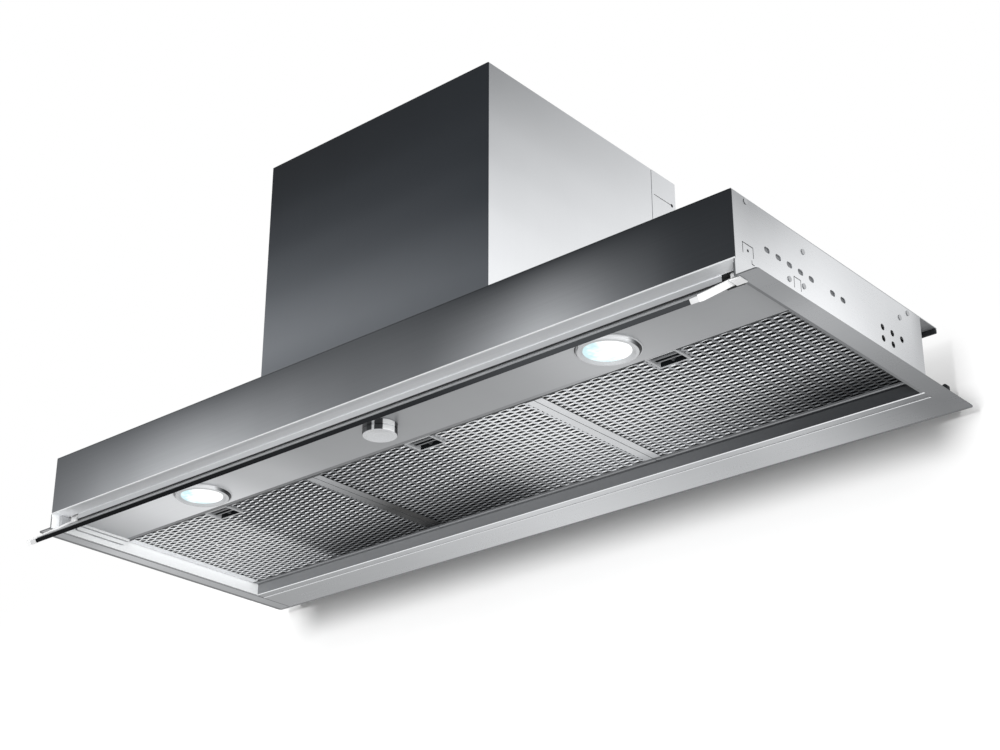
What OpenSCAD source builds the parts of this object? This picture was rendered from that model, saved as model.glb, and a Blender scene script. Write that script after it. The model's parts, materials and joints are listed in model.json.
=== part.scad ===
// Built-in range hood. A sheet-steel body sits inside a wall cabinet on a wide trim flange,
// with a motor box on top, three mesh filters, two lamps, a knob and a tilting glass visor.
// Origin: middle of the body's front face, in the plane of the flange's upper, seating face.
// X runs to the right, Y towards the wall, Z up.

/* [Body] */
// Width of the body, which slides between the cabinet's side walls
body_w = 860; // [800:1:960]
// Depth of the body from the fascia to its back panel
body_d = 299; // [290:0.5:320]
// Height of the body above the seating face
body_h = 77.5; // [70:0.5:95]
// Thickness of the side panels
side_t = 1.2; // [0.8:0.1:1.5]
// Thickness of every other steel sheet
skin = 1; // [0.8:0.1:1.2]
// How far the top plate runs on behind the body
top_overhang = 31; // [31:0.5:40]
// Width of the folded returns along the panels' edges
return_w = 12; // [8:0.5:16]
// Gap between parts that are screwed or welded face to face
seat_gap = 0.05; // [0.04:0.01:0.1]

/* [Fascia and front rail] */
// Height of the ledge under the fascia
ledge_z = 14.3; // [13:0.1:17]
// Depth of the ledge, from the fascia to the rail
ledge_d = 16; // [15:0.1:18]
// Height of the rail's lower edge
rail_z = 6.8; // [5:0.1:8]
// Distance from the body's side to the rail's end, where the visor's arm passes
rail_inset = 24.2; // [23:0.1:26]
// Height of the rail's hidden upper leg above the ledge
rail_leg = 22; // [12:1:30]

/* [Trim flange] */
// How far the flange reaches past each side panel
flange_side = 19.5; // [12:0.5:40]
// How far the flange reaches past the back panel
flange_rear = 48; // [40:1:70]
// Thickness of the flange
flange_t = 1.2; // [1:0.1:1.6]
// Radius of the flange's corners
flange_corner = 3; // [1:0.5:6]
// Thickness of the upright liner around the filter recess
liner_t = 0.7; // [0.6:0.1:0.9]
// Gap between the liner and the side panels
liner_gap = 0.1; // [0.05:0.05:0.3]
// Distance from the liner's back wall to the body's back face
recess_back = 8.5; // [7.5:0.1:9]
// Depth of the raised border behind the recess
border_d = 11.5; // [10.5:0.1:14]
// Height of the step along that border
border_step = 0.4; // [0.2:0.05:0.5]
// Drop of the hem that carries the panels below the seating face
hem_drop = 0.3; // [0.2:0.05:0.4]

/* [Lamp panel] */
// Height of the lamp panel's underside
ceiling_z = 10.8; // [10:0.1:12]
// Front edge of the lamp panel
panel_y0 = 22.6; // [22:0.1:24]
// Rear edge of the lamp panel
panel_y1 = 97.3; // [92:0.1:102]
// Width of the stepped filler between the lamp panel and the liner
filler_w = 7; // [5:0.1:9]
// How much shorter the filler is along the liner than along the panel
filler_cut = 7; // [3:0.5:10]
// Height of the lips folded up along the lamp panel
panel_lip = 9; // [5:0.5:12]

/* [Lamps] */
// Distance of each lamp from the middle
lamp_x = 259.5; // [180:0.5:320]
// Distance of the lamps from the fascia
lamp_y = 59; // [57:0.5:63]
// Outer diameter of the lamp's trim ring
lamp_ring_d = 60; // [58:0.5:66]
// Diameter of the lens
lamp_lens_d = 47.2; // [40:0.1:48]
// How far the trim ring stands below the panel
lamp_ring_h = 4; // [3.5:0.1:6]
// Height of the lamp's can above the panel's underside
lamp_can_h = 20; // [16:0.5:26]

/* [Control knob] */
// Diameter of the knob
knob_d = 33; // [28:0.5:36]
// Height of the turning cap
knob_cap_h = 6; // [5:0.1:7]
// Height of the fixed base ring
knob_base_h = 5.3; // [4:0.1:6]
// Distance of the knob from the fascia
knob_y = 49; // [47:0.5:52]
// Diameter of the knob's spindle
spindle_d = 6; // [5:0.5:7]

/* [Filters] */
// Gap between neighbouring cassettes
filter_gap = 0.6; // [0.4:0.1:1.5]
// Gap between the outer cassettes and the liner
filter_side_gap = 0.8; // [0.5:0.1:1.5]
// Gap in front of the cassettes
filter_front_gap = 0.7; // [0.6:0.1:1.2]
// Height of a cassette
filter_h = 9; // [8.5:0.1:11]
// Height of a cassette's underside above the liner's edge
filter_lift = 0.2; // [0.15:0.05:0.3]
// Height of the liner's upper edge, on which the cassettes hang
liner_z = 11; // [10.5:0.1:12]
// Thickness of the cassette's frame
filter_t = 0.8; // [0.6:0.1:1]
// Width of the frame along the cassette's sides
filter_side_w = 9; // [7:0.5:12]
// Width of the frame along the cassette's rear edge
filter_rear_w = 10; // [8:0.5:13]
// Width of the frame along the cassette's front edge
filter_front_w = 2; // [1.5:0.1:3]
// How far the cassettes lie over the liner's back wall
filter_hook = 2; // [1.6:0.1:2.5]
// Thickness of the mesh layer
mesh_t = 1.2; // [0.8:0.1:1.6]
// Mesh openings across one cassette
mesh_cols = 12; // [6:1:12]
// Mesh openings from front to back of one cassette
mesh_rows = 8; // [4:1:8]

/* [Filter latches] */
// Width of a latch housing
latch_w = 33; // [28:0.5:38]
// Depth of a latch housing
latch_d = 24; // [22:0.5:28]
// Wall of the latch housing
latch_wall = 2; // [1.5:0.1:2.5]
// Travel of the slider
latch_travel = 4; // [3:0.1:5]
// Room between the slider and its housing
latch_play = 0.4; // [0.3:0.05:0.6]
// Width of the slider's tongue
tongue_w = 15.2; // [10:0.2:18]

/* [Visor] */
// Depth of the glass pane
visor_d = 58; // [40:0.5:64]
// Thickness of the glass pane
visor_t = 4.2; // [3:0.1:5]
// Distance from the body's side to the end of the pane
visor_inset = 22.8; // [22.5:0.1:26]
// How far the photographed pose hangs below the closed pose, in degrees
visor_open = 35; // [20:1:38]
// Distance of the visor's pivot behind the rail's front face
pivot_back = 6.7; // [6.5:0.1:7.5]
// Height of the visor's pivot
pivot_z = 11.5; // [11:0.1:12]
// Height of an arm
arm_h = 5.9; // [5.5:0.1:6.5]
// Thickness of an arm, which passes the end of the rail
arm_w = 4.9; // [4:0.1:5.5]
// Gap between the closed arms and the ledge
visor_clear = 1.7; // [0.6:0.1:2]
// Height of an arm above the glass
arm_rise = 1.3; // [1:0.1:2]
// Diameter of the pivot pins
pivot_d = 5; // [4:0.1:5.5]
// Running gap around pins, shafts and spindles
running = 0.05; // [0.03:0.01:0.08]

/* [Side panel holes] */
// Height of the row of slots
slot_z = 40.9; // [38:0.1:60]
// First slot's distance behind the fascia
slot_y0 = 47.7; // [40:0.1:60]
// Distance from one slot to the next
slot_pitch = 16.5; // [12:0.1:18]
// Length of a slot
slot_len = 8; // [6:0.1:10]
// Half width of a slot
slot_r = 2.5; // [2:0.1:2.9]
// Radius of the screw holes near the back
bolt_r = 3; // [2.5:0.1:3.2]
// First screw hole's distance behind the fascia
bolt_y0 = 228; // [220:0.5:240]
// Distance between screw holes along the panel
bolt_pitch = 16.5; // [14:0.5:17]
// Height of the lower pair of screw holes
bolt_z0 = 29.2; // [26:0.1:31]
// Height between the two rows of screw holes
bolt_rise = 11; // [10:0.1:14]
// Radius of the rivets' shanks
rivet_r = 1.6; // [1.2:0.1:2]
// Width of the slits around the bendable tabs
slit = 0.8; // [0.6:0.1:1.2]

/* [Motor box] */
// Width of the motor box
box_w = 297; // [280:1:320]
// Front face of the motor box behind the fascia
box_y0 = 30; // [25:0.5:32]
// Height of the motor box above the seating face
box_top = 338; // [330:1:380]
// Width of the rear cover's sides
rear_side = 42; // [36:0.5:50]

/* [Outlet] */
// Outer diameter of the outlet collar
collar_d = 124; // [118:0.5:124]
// Height of the collar above the motor box
collar_h = 40; // [35:1:60]
// Wall of the collar
collar_t = 1.2; // [1:0.1:1.6]
// Diameter of the dampers' pins
damper_pin_d = 3; // [2.5:0.1:3.2]
// Distance of each damper's pin from the middle
damper_pin_x = 5; // [5:0.1:6]
// Thickness of a damper flap
flap_t = 1.2; // [0.8:0.1:1.4]

/* [Fan] */
// Radius of the scroll at its tongue
scroll_r0 = 80; // [78:0.5:82]
// Radius of the scroll where it opens into the outlet
scroll_r1 = 104; // [102:0.5:106]
// Half width of the scroll
scroll_half = 80; // [76:1:86]
// Wall of the scroll
scroll_t = 1.5; // [1:0.1:2]
// Height of the fan's shaft
fan_z = 190; // [186:1:200]
// Outer diameter of the impeller
wheel_d = 140; // [120:1:144]
// Width of the impeller
wheel_w = 120; // [90:1:130]
// Radial depth of the blades
blade_d = 14; // [10:0.5:16]
// Number of blades
blades = 24; // [12:1:30]
// Diameter of the motor
motor_d = 80; // [60:1:82]
// Diameter of the motor's shaft
shaft_d = 8; // [6:0.5:10]

/* [Hidden] */
$fn = 64;

// Body
body_half = body_w / 2;
inner_half = body_half - side_t;
seat_z = -hem_drop;
sheet_top = body_h - skin;
top_y1 = body_d + top_overhang;

// Side panels: slots by their number in the row, tabs by their two ends along Y and Z
slot_places = [0, 1, 2, 3, 4, 6, 7];
bolt_y = [bolt_y0, bolt_y0 + bolt_pitch];
bolt_z = [bolt_z0, bolt_z0 + bolt_rise];
spare_bolt = [bolt_y0 + 2 * bolt_pitch, bolt_z0 + bolt_rise];
front_tab = [[11.8, 27.4], [24.4, 34.3]];
lower_tab = [[86, 96.8], [22.5, 33.2]];
foot_slit = [[24, 28], [18.1, 22]];
rivet_places = [[20.1, body_h - 3.8], [103.4, body_h - 15.1],
    [body_d - 22.5, body_h - 5.5], [body_d - 37.8, body_h - 15.5],
    [lower_tab[0][0] - 6.8, lower_tab[1][0] + 5], [lower_tab[0][1] + 4.3, lower_tab[1][0] + 6.9]];

// Flange
flange_w = body_w + 2 * flange_side;
flange_d = body_d + flange_rear;

// Recess for the filters
recess_half = inner_half - liner_gap - liner_t;
recess_y = body_d - recess_back;
liner_back_t = skin - 0.2;
border_y = recess_y + border_d;

// Front rail and lamp panel
rail_half = body_half - rail_inset;
filler_x0 = recess_half - 0.1 - filler_w;
filler_step = 3.3;
panel_half = filler_x0 - 0.3;

// Filter cassettes
filter_n = 3;
filter_w = (recess_half * 2 - 2 * filter_side_gap - (filter_n - 1) * filter_gap) / filter_n;
filter_pitch = filter_w + filter_gap;
filter_z = liner_z + filter_lift;
filter_y0 = panel_y1 + filter_front_gap;
filter_y1 = recess_y + filter_hook;

// Lamps and knob
lamp_can_r = lamp_lens_d / 2 + 2.9;
ring_z0 = ceiling_z - lamp_ring_h;
knob_z1 = ceiling_z - knob_base_h;
knob_z0 = knob_z1 - knob_cap_h - 0.2;
spindle_top = ceiling_z + 14;

// Latches
latch_y0 = filter_y0 + 0.2;
latch_y1 = latch_y0 + latch_d;
latch_z0 = filter_z + 0.1;
latch_z1 = filter_z + filter_h - 0.9;
slider_y0 = latch_y0 + latch_wall + latch_play;
slider_y1 = latch_y1 - latch_wall - latch_play - latch_travel - 2.6;
slider_z0 = latch_z0 + 1.3;
slider_z1 = latch_z1 - latch_wall + 0.5 - latch_play;
tongue_z = (slider_z0 + slider_z1) / 2;
tongue_t = 2;
spring_z = tongue_z;
spring_r = 1.8;

// Rows and half columns of the mesh that make room for the latch
latch_rows = 2;
latch_cols = 1.25;

// Visor, drawn closed and turned open about its pivot
pivot_y = ledge_d + pivot_back;
visor_half = body_half - visor_inset;
arm_top = ledge_z - visor_clear;
pane_top = arm_top - arm_rise;
pane_y1 = ledge_d - 3.2;
pane_y0 = pane_y1 - visor_d;
foot_x0 = visor_half + 0.3;
arm_out = panel_half - 0.1;
arm_in = arm_out - arm_w;
arm_y0 = pane_y0 - 0.2;
cap_l = 9.2;
boss_r = pivot_d / 2 + 2;
boss_in = arm_in - 2.5;
filler_y0 = pivot_y + boss_r + 3;
notch_half = visor_half - 9.4;
notch_y1 = filler_y0 + 6.6;

// Motor box
box_half = box_w / 2;
box_y1 = body_d + top_overhang;
seam_y = box_y1 - rear_side;
box_mid_y = (box_y0 + box_y1) / 2;
box_floor = body_h + seat_gap;
lid_z = box_top - skin;
gland_x = box_half - 44.5;
gland_y = box_y1 - 45;
gland_r = 8;
cable_r = 3.6;

// Fan, set so that its outlet is centred under the collar
tongue_angle = 100;
scroll_sweep = 360 - tongue_angle;
fan_y = box_mid_y - (scroll_r1 + scroll_r0 * cos(tongue_angle)) / 2;
scroll_top = lid_z - 0.3;
inlet_r = wheel_d / 2 - 10;
hub_x = 14;
shaft_x0 = -28;
motor_x0 = -scroll_half + 0.2;

// Motor bracket: a flat ring, a cup round the motor and three spokes
cup_gap = 0.3;
cup_t = 2;
cup_l = 32;
bracket_rim = 11;
bracket_t = 2.5;
spoke_w = 12;

// Capacitor and electronics box, side by side behind the scroll
electronics_half = 55;
electronics_x = -5;
electronics_foot = 6;
electronics_h = 38;
electronics_y = [seam_y - 10, box_y1 - 7];
foot_t = 3;
capacitor_r = 17.5;
capacitor_h = 60;
capacitor_y = seam_y + 11;
stud_r = 6;
stud_h = 4;
capacitor_x = electronics_x + electronics_half + electronics_foot + capacitor_r + 12;

// Outlet collar
collar_r = collar_d / 2;
collar_bore = collar_r - collar_t;
collar_z0 = box_top + seat_gap;
collar_z1 = box_top + collar_h;
flap_seat_z = collar_z0 + 7;
flap_z = flap_seat_z + 0.2;
damper_z = flap_z + 3;
knuckle_r = damper_pin_d / 2 + 1.5;
knuckle_l = 18;
knuckle_y = [-40, 22];
flap_root = 1.3;
boss_half = 2.2;
boss_y = collar_bore - 1.5;

// Box between two opposite corners
module block(low, high) {
    translate(low) cube(high - low);
}

// The same shape on the right, or mirrored to the left
module on_side(side) {
    mirror([side < 0 ? 1 : 0, 0, 0]) children();
}

// Cylinder along X between two places
module rod_x(x0, x1, y, z, r) {
    translate([x0, y, z]) rotate([0, 90, 0]) cylinder(r = r, h = x1 - x0);
}

// Ring along Z between two heights
module ring_z(x, y, z0, z1, r_out, r_in) {
    translate([x, y, z0]) difference() {
        cylinder(r = r_out, h = z1 - z0);
        translate([0, 0, -1]) cylinder(r = r_in, h = z1 - z0 + 2);
    }
}

// Slot through a side panel, with its length along Y
module side_slot(y, z, length, r) {
    x0 = inner_half - 1;
    x1 = body_half + 1;
    rod_x(x0, x1, y - length / 2 + r, z, r);
    rod_x(x0, x1, y + length / 2 - r, z, r);
    block([x0, y - length / 2 + r, z - r], [x1, y + length / 2 - r, z + r]);
}

// Round hole through a side panel
module panel_hole(place, r) {
    rod_x(inner_half - 1, body_half + 1, place[0], place[1], r);
}

// Three-sided slit that frees a bendable tab
module tab_slit(y, z) {
    x0 = inner_half - 1;
    x1 = body_half + 1;
    block([x0, y[0], z[0]], [x1, y[0] + slit, z[1]]);
    block([x0, y[1] - slit, z[0]], [x1, y[1], z[1]]);
    block([x0, y[0], z[1] - slit], [x1, y[1], z[1]]);
}

module side_panel(side) {
    color("gainsboro") on_side(side) difference() {
        union() {
            block([inner_half, 0, seat_z], [body_half, body_d, sheet_top - seat_gap]);
            block([body_half - return_w, skin + 1, sheet_top - seat_gap - side_t],
                [body_half, body_d - skin - seat_gap, sheet_top - seat_gap]);
            block([body_half - return_w, body_d - skin - seat_gap - side_t, liner_z + filter_h + 4],
                [body_half, body_d - skin - seat_gap, sheet_top - seat_gap]);
        }
        block([inner_half - 1, -1, ledge_z - seat_gap], [body_half + 1, skin + seat_gap, body_h]);
        for (i = slot_places) side_slot(slot_y0 + i * slot_pitch, slot_z, slot_len, slot_r);
        for (y = bolt_y, z = bolt_z) panel_hole([y, z], bolt_r);
        panel_hole(spare_bolt, bolt_r);
        for (p = rivet_places) panel_hole(p, rivet_r + 0.1);
        tab_slit(front_tab[0], front_tab[1]);
        panel_hole([front_tab[0][1] - 8, front_tab[1][1] - 5.7], 1.4);
        tab_slit(lower_tab[0], lower_tab[1]);
        block([inner_half - 1, foot_slit[0][0], foot_slit[1][0]],
            [body_half + 1, foot_slit[0][0] + slit, foot_slit[1][1]]);
        block([inner_half - 1, foot_slit[0][0], foot_slit[1][0]],
            [body_half + 1, foot_slit[0][1], foot_slit[1][0] + slit]);
    }
}

module top_plate() {
    color("lightgray") difference() {
        block([-body_half, 0, sheet_top], [body_half, top_y1, body_h]);
        block([-box_half + return_w + 2.5, box_y0 + return_w + 3, sheet_top - 1],
            [box_half - return_w - 2.5, seam_y - 20, body_h + 1]);
    }
}

module back_panel() {
    color("silver") block([-inner_half + liner_gap, body_d - skin, seat_z],
        [inner_half - liner_gap, body_d, sheet_top - seat_gap]);
}

module fascia_panel() {
    color("dimgray") union() {
        block([-body_half, 0, ledge_z], [body_half, skin, sheet_top - seat_gap]);
        block([-inner_half + liner_gap, 0, ledge_z], [inner_half - liner_gap, ledge_d, ledge_z + skin]);
        block([-body_half + return_w + 1, 0, sheet_top - seat_gap - skin],
            [body_half - return_w - 1, return_w, sheet_top - seat_gap]);
    }
}

module front_rail() {
    rail_y1 = ledge_d + seat_gap + skin;
    color("silver") union() {
        block([-inner_half + liner_gap, ledge_d + seat_gap, ledge_z],
            [inner_half - liner_gap, rail_y1, ledge_z + rail_leg]);
        block([-rail_half, ledge_d + seat_gap, rail_z], [rail_half, rail_y1, ledge_z + 1]);
        block([-rail_half + 1.3, ledge_d + seat_gap, rail_z],
            [rail_half - 1.3, panel_y0 - 1.6, rail_z + skin]);
    }
}

// Plate with rounded corners at its rear, made of straight blocks and corner discs
module flange_outline(z0, z1) {
    x = flange_w / 2;
    r = flange_corner;
    block([-x, r, z0], [x, flange_d - r, z1]);
    block([-x + r, 0, z0], [x - r, flange_d, z1]);
    for (sx = [-1, 1], y = [r, flange_d - r])
        translate([sx * (x - r), y, z0]) cylinder(r = r, h = z1 - z0);
}

module trim_flange() {
    liner_out = recess_half + liner_t;
    color("silver") difference() {
        union() {
            difference() {
                flange_outline(-flange_t, 0);
                block([-recess_half, -1, -flange_t - 1], [recess_half, recess_y, 1]);
                block([-body_half - seat_gap, -1, -hem_drop - seat_gap],
                    [body_half + seat_gap, body_d + seat_gap, 1]);
                block([-recess_half - 4, recess_y - 1, -flange_t - 1],
                    [recess_half + 4, border_y, -flange_t + border_step]);
            }
            for (s = [-1, 1]) on_side(s)
                block([recess_half, 0, -flange_t], [liner_out, recess_y + liner_back_t, liner_z]);
            block([-liner_out, recess_y, -flange_t + border_step],
                [liner_out, recess_y + liner_back_t, liner_z]);
        }
        for (s = [-1, 1]) on_side(s)
            block([recess_half - 1, pivot_y - boss_r - 1.5, pivot_z - boss_r - 1.5],
                [liner_out + 1, pivot_y + boss_r + 1.5, liner_z + 1]);
    }
}

module lamp_panel() {
    color("lightgray") difference() {
        union() {
            block([-panel_half, panel_y0, ceiling_z], [panel_half, panel_y1, ceiling_z + skin]);
            for (y = [panel_y0, panel_y1 - skin])
                block([-panel_half, y, ceiling_z], [panel_half, y + skin, ceiling_z + panel_lip]);
        }
        for (s = [-1, 1]) on_side(s) {
            block([notch_half, panel_y0 - 1, ceiling_z - 1],
                [panel_half + 1, notch_y1, ceiling_z + panel_lip + 1]);
            translate([lamp_x, lamp_y, ceiling_z - 1]) cylinder(r = lamp_can_r + 1, h = skin + 2);
        }
        translate([0, knob_y, ceiling_z - 1]) cylinder(r = spindle_d / 2 + 2, h = skin + 2);
    }
}

// Stepped strip between the lamp panel and the liner, cut back at its rear end
module side_filler(side) {
    x0 = filler_x0;
    x1 = x0 + filler_w;
    top = ceiling_z + skin;
    color("silver") on_side(side) difference() {
        translate([0, panel_y1, 0]) rotate([90, 0, 0]) linear_extrude(panel_y1 - filler_y0)
            polygon([[x0, top], [x0, ceiling_z - 2.2], [x0 + filler_step, ceiling_z - 2.2],
                [x0 + filler_step, ceiling_z - 6.2], [x1, ceiling_z - 6.2], [x1, top]]);
        translate([0, 0, -flange_t]) linear_extrude(ceiling_z + 10)
            polygon([[x0 - 0.1, panel_y1], [x1 + 1, panel_y1 - filler_cut], [x1 + 1, panel_y1 + 1],
                [x0 - 0.1, panel_y1 + 1]]);
    }
}

module rear_seal_strip() {
    color("black") block([-body_half, top_y1 - 3.5, sheet_top - 4.8],
        [body_half, top_y1, sheet_top - seat_gap]);
}

// Rubber-tipped spacers that keep the flange off the wall
module rear_spacers() {
    foot_y0 = flange_d - 9;
    foot_y1 = flange_d - 3;
    foot_z0 = 3;
    foot_z1 = 22.5;
    r = 2.75;
    x = body_half - r;
    color("black") for (s = [-1, 1]) on_side(s) union() {
        block([x - r, body_d + 0.3, foot_z0], [x + r, foot_y1, foot_z0 + 5]);
        block([x - r, foot_y0, foot_z0], [x + r, foot_y1, foot_z1]);
        translate([x, foot_y1, foot_z1]) rotate([90, 0, 0]) cylinder(r = r, h = foot_y1 - foot_y0);
    }
}

module panel_rivets() {
    color("gray") for (s = [-1, 1]) on_side(s) for (p = rivet_places) {
        rod_x(inner_half - 0.4, body_half + 0.3, p[0], p[1], rivet_r);
        rod_x(body_half + seat_gap, body_half + 0.7, p[0], p[1], rivet_r + 1);
    }
}

module chimney_cover() {
    color("silver") union() {
        block([-box_half, box_y0, box_floor], [box_half, box_y0 + skin, box_top]);
        block([-box_half, box_y0, box_floor], [box_half, box_y0 + return_w, box_floor + skin]);
        for (s = [-1, 1]) on_side(s) {
            block([box_half - skin, box_y0, box_floor], [box_half, seam_y, box_top]);
            block([box_half - return_w, box_y0, box_floor], [box_half, seam_y, box_floor + skin]);
        }
    }
}

module chimney_rear_cover() {
    lap = 16;
    lap_x = box_half - skin - 0.1;
    slit_z = box_top - 29;
    color("silver") difference() {
        union() {
            block([-box_half, box_y1 - skin, box_floor], [box_half, box_y1, box_top]);
            for (s = [-1, 1]) on_side(s) {
                block([box_half - skin, seam_y + 0.6, box_floor], [box_half, box_y1, box_top]);
                block([lap_x - skin, seam_y - lap, box_floor + skin + 0.3],
                    [lap_x, seam_y + 2, lid_z - 0.3]);
                block([lap_x - skin, seam_y + 0.6, box_floor + skin + 0.3],
                    [box_half, seam_y + 2, lid_z - 0.3]);
            }
        }
        for (s = [-1, 1]) on_side(s) {
            block([box_half - skin - 1, seam_y + 4, slit_z], [box_half + 1, box_y1 - 8, slit_z + slit]);
            rod_x(box_half - skin - 1, box_half + 1, box_y1 - 6.5, slit_z + slit / 2, 2);
        }
    }
}

module chimney_top_plate() {
    x = box_half - skin - seat_gap;
    color("silver") difference() {
        block([-x, box_y0 + skin + seat_gap, lid_z], [x, box_y1 - skin - seat_gap, box_top]);
        translate([0, box_mid_y, lid_z - 1]) cylinder(r = collar_bore, h = skin + 2);
        translate([-gland_x, gland_y, lid_z - 1]) cylinder(r = gland_r + 0.1, h = skin + 2);
    }
}

module cable_gland() {
    color("dimgray") translate([-gland_x, gland_y, 0]) difference() {
        union() {
            translate([0, 0, lid_z - 7]) cylinder(r = gland_r, h = skin + 7.2);
            translate([0, 0, box_top + seat_gap]) cylinder(r = gland_r + 3, h = 5, $fn = 6);
            translate([0, 0, box_top + 5]) cylinder(r1 = gland_r + 1, r2 = gland_r - 2, h = 6);
        }
        translate([0, 0, lid_z - 8]) cylinder(r = cable_r, h = 30);
    }
}

module outlet_collar() {
    boss = damper_pin_d / 2 + 1.9;
    color("silver") difference() {
        union() {
            ring_z(0, box_mid_y, collar_z0, collar_z1, collar_r, collar_bore);
            ring_z(0, box_mid_y, collar_z0, collar_z0 + skin, collar_r + 14, collar_bore);
            ring_z(0, box_mid_y, flap_seat_z - 1.5, flap_seat_z, collar_r - 0.5, collar_bore - 3.3);
            intersection() {
                for (sx = [-1, 1], sy = [-1, 1])
                    translate([sx * damper_pin_x, box_mid_y + sy * boss_y, damper_z])
                        rotate([90, 0, 0]) cylinder(r = boss, h = 2 * boss_half, center = true);
                translate([0, box_mid_y, collar_z0]) cylinder(r = collar_r - 0.3, h = collar_h - 1);
            }
        }
        for (s = [-1, 1]) translate([s * damper_pin_x, box_mid_y - collar_r + 1.6, damper_z])
            rotate([-90, 0, 0]) cylinder(r = damper_pin_d / 2 + running, h = 2 * collar_r - 3.2);
    }
}

module damper_pins() {
    half = collar_bore - 0.8;
    color("silver") for (s = [-1, 1]) translate([s * damper_pin_x, box_mid_y - half, damper_z])
        rotate([-90, 0, 0]) cylinder(r = damper_pin_d / 2, h = 2 * half);
}

// Half disc with two knuckles on its own pin
module damper_flap(side) {
    r = collar_bore - 0.8;
    color("whitesmoke") on_side(side) difference() {
        union() {
            intersection() {
                translate([0, box_mid_y, flap_z]) cylinder(r = r, h = flap_t);
                block([flap_root, box_mid_y - r, flap_z], [r, box_mid_y + r, flap_z + flap_t]);
            }
            for (y = knuckle_y) translate([damper_pin_x, box_mid_y + y, damper_z]) rotate([-90, 0, 0])
                cylinder(r = knuckle_r, h = knuckle_l);
        }
        for (y = knuckle_y) translate([damper_pin_x, box_mid_y + y - 1, damper_z]) rotate([-90, 0, 0])
            cylinder(r = damper_pin_d / 2 + running, h = knuckle_l + 2);
        for (s = [-1, 1]) translate([0, box_mid_y + s * (r - 2.4) - 3.4, flap_z - 1])
            cube([damper_pin_x + boss_half + 3, 6.8, flap_t + 2]);
    }
}

// Spiral of the scroll and its straight outlet, drawn in the plane of Y and Z
function scroll_radius(a, inset) = scroll_r0 + (scroll_r1 - scroll_r0) * a / scroll_sweep - inset;
function scroll_outline(inset, top) = concat(
    [[scroll_r0 * cos(tongue_angle) + inset, top]],
    [for (a = [0:10:scroll_sweep]) scroll_radius(a, inset)
        * [cos(tongue_angle + a), sin(tongue_angle + a)] + (a == 0 ? [inset, 0] : [0, 0])],
    [[scroll_r1 - inset, top]]);

// Solid of that outline between two places along X
module scroll_solid(inset, x0, x1, top) {
    translate([x0, fan_y, fan_z]) rotate([90, 0, 90]) linear_extrude(x1 - x0)
        polygon(scroll_outline(inset, top - fan_z));
}

module scroll_housing() {
    duct_y0 = fan_y + scroll_r0 * cos(tongue_angle);
    duct_y1 = fan_y + scroll_r1;
    color("lightgray") difference() {
        union() {
            scroll_solid(0, -scroll_half, scroll_half, scroll_top);
            block([-scroll_half - 8, duct_y0 - 8, scroll_top - 2],
                [scroll_half + 1.4, duct_y1 + 8, scroll_top]);
        }
        scroll_solid(scroll_t, -scroll_half + scroll_t, scroll_half + 2, scroll_top + 1);
        rod_x(-scroll_half - 1, -scroll_half + scroll_t + 1, fan_y, fan_z, inlet_r);
    }
}

module scroll_side_plate() {
    x0 = scroll_half + seat_gap;
    color("lightgray") difference() {
        union() {
            scroll_solid(0, x0, x0 + 1.2, scroll_top - 2.2);
            rod_x(x0, x0 + 5, fan_y, fan_z, inlet_r + 2);
        }
        rod_x(x0 - 1, x0 + 6, fan_y, fan_z, inlet_r);
    }
}

module impeller() {
    r1 = wheel_d / 2;
    half = wheel_w / 2;
    rim = 3;
    color("whitesmoke") translate([0, fan_y, fan_z]) rotate([0, 90, 0]) difference() {
        union() {
            for (x = [-half, half - rim]) ring_z(0, 0, x, x + rim, r1, r1 - blade_d);
            translate([0, 0, hub_x - 1]) cylinder(r = r1, h = 2);
            translate([0, 0, hub_x - 6]) cylinder(r = shaft_d / 2 + 7, h = 14);
            for (i = [0:blades - 1]) rotate(i * 360 / blades)
                translate([r1 - blade_d / 2 - 0.5, 0, -half + 1]) rotate(28)
                    translate([-blade_d / 2 + 1.5, -0.5, 0]) cube([blade_d - 3, 1, wheel_w - 2]);
        }
        translate([0, 0, -half]) cylinder(r = shaft_d / 2 + 0.02, h = wheel_w);
    }
}

module motor_shaft() {
    color("silver") rod_x(shaft_x0, hub_x + 8, fan_y, fan_z, shaft_d / 2);
}

module motor() {
    color("dimgray") difference() {
        union() {
            rod_x(motor_x0, -6, fan_y, fan_z, motor_d / 2);
            rod_x(-7, hub_x - 9, fan_y, fan_z, shaft_d / 2 + 6);
        }
        rod_x(shaft_x0 - 1, hub_x, fan_y, fan_z, shaft_d / 2 + running);
    }
}

module motor_bracket() {
    x0 = -scroll_half - bracket_t;
    x1 = -scroll_half - seat_gap;
    cup_in = motor_d / 2 + cup_gap;
    cup_out = cup_in + cup_t;
    color("silver") translate([0, fan_y, fan_z]) rotate([0, 90, 0]) difference() {
        union() {
            ring_z(0, 0, x0, x1, inlet_r + 1 + bracket_rim, inlet_r + 1);
            ring_z(0, 0, x0, x0 + cup_l, cup_out, cup_in);
            ring_z(0, 0, x0, x1, cup_out, shaft_d / 2 + 6);
            for (i = [0:2]) rotate(i * 120) translate([cup_in + 0.5, -spoke_w / 2, x0])
                cube([inlet_r + 2 - cup_in, spoke_w, x1 - x0]);
        }
        translate([0, 0, x1]) cylinder(r = cup_in, h = cup_l + 8);
    }
}

module capacitor() {
    color("whitesmoke") translate([capacitor_x, capacitor_y, box_floor]) union() {
        cylinder(r = capacitor_r, h = capacitor_h);
        cylinder(r = stud_r, h = capacitor_h + stud_h);
    }
}

module electronics_box() {
    half = electronics_half;
    foot = electronics_foot;
    color("whitesmoke") translate([electronics_x, 0, 0]) union() {
        block([-half, electronics_y[0], box_floor], [half, electronics_y[1], box_floor + electronics_h]);
        block([-half - foot, electronics_y[0] + foot, box_floor],
            [half + foot, electronics_y[1] - foot, box_floor + foot_t]);
    }
}

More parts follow.
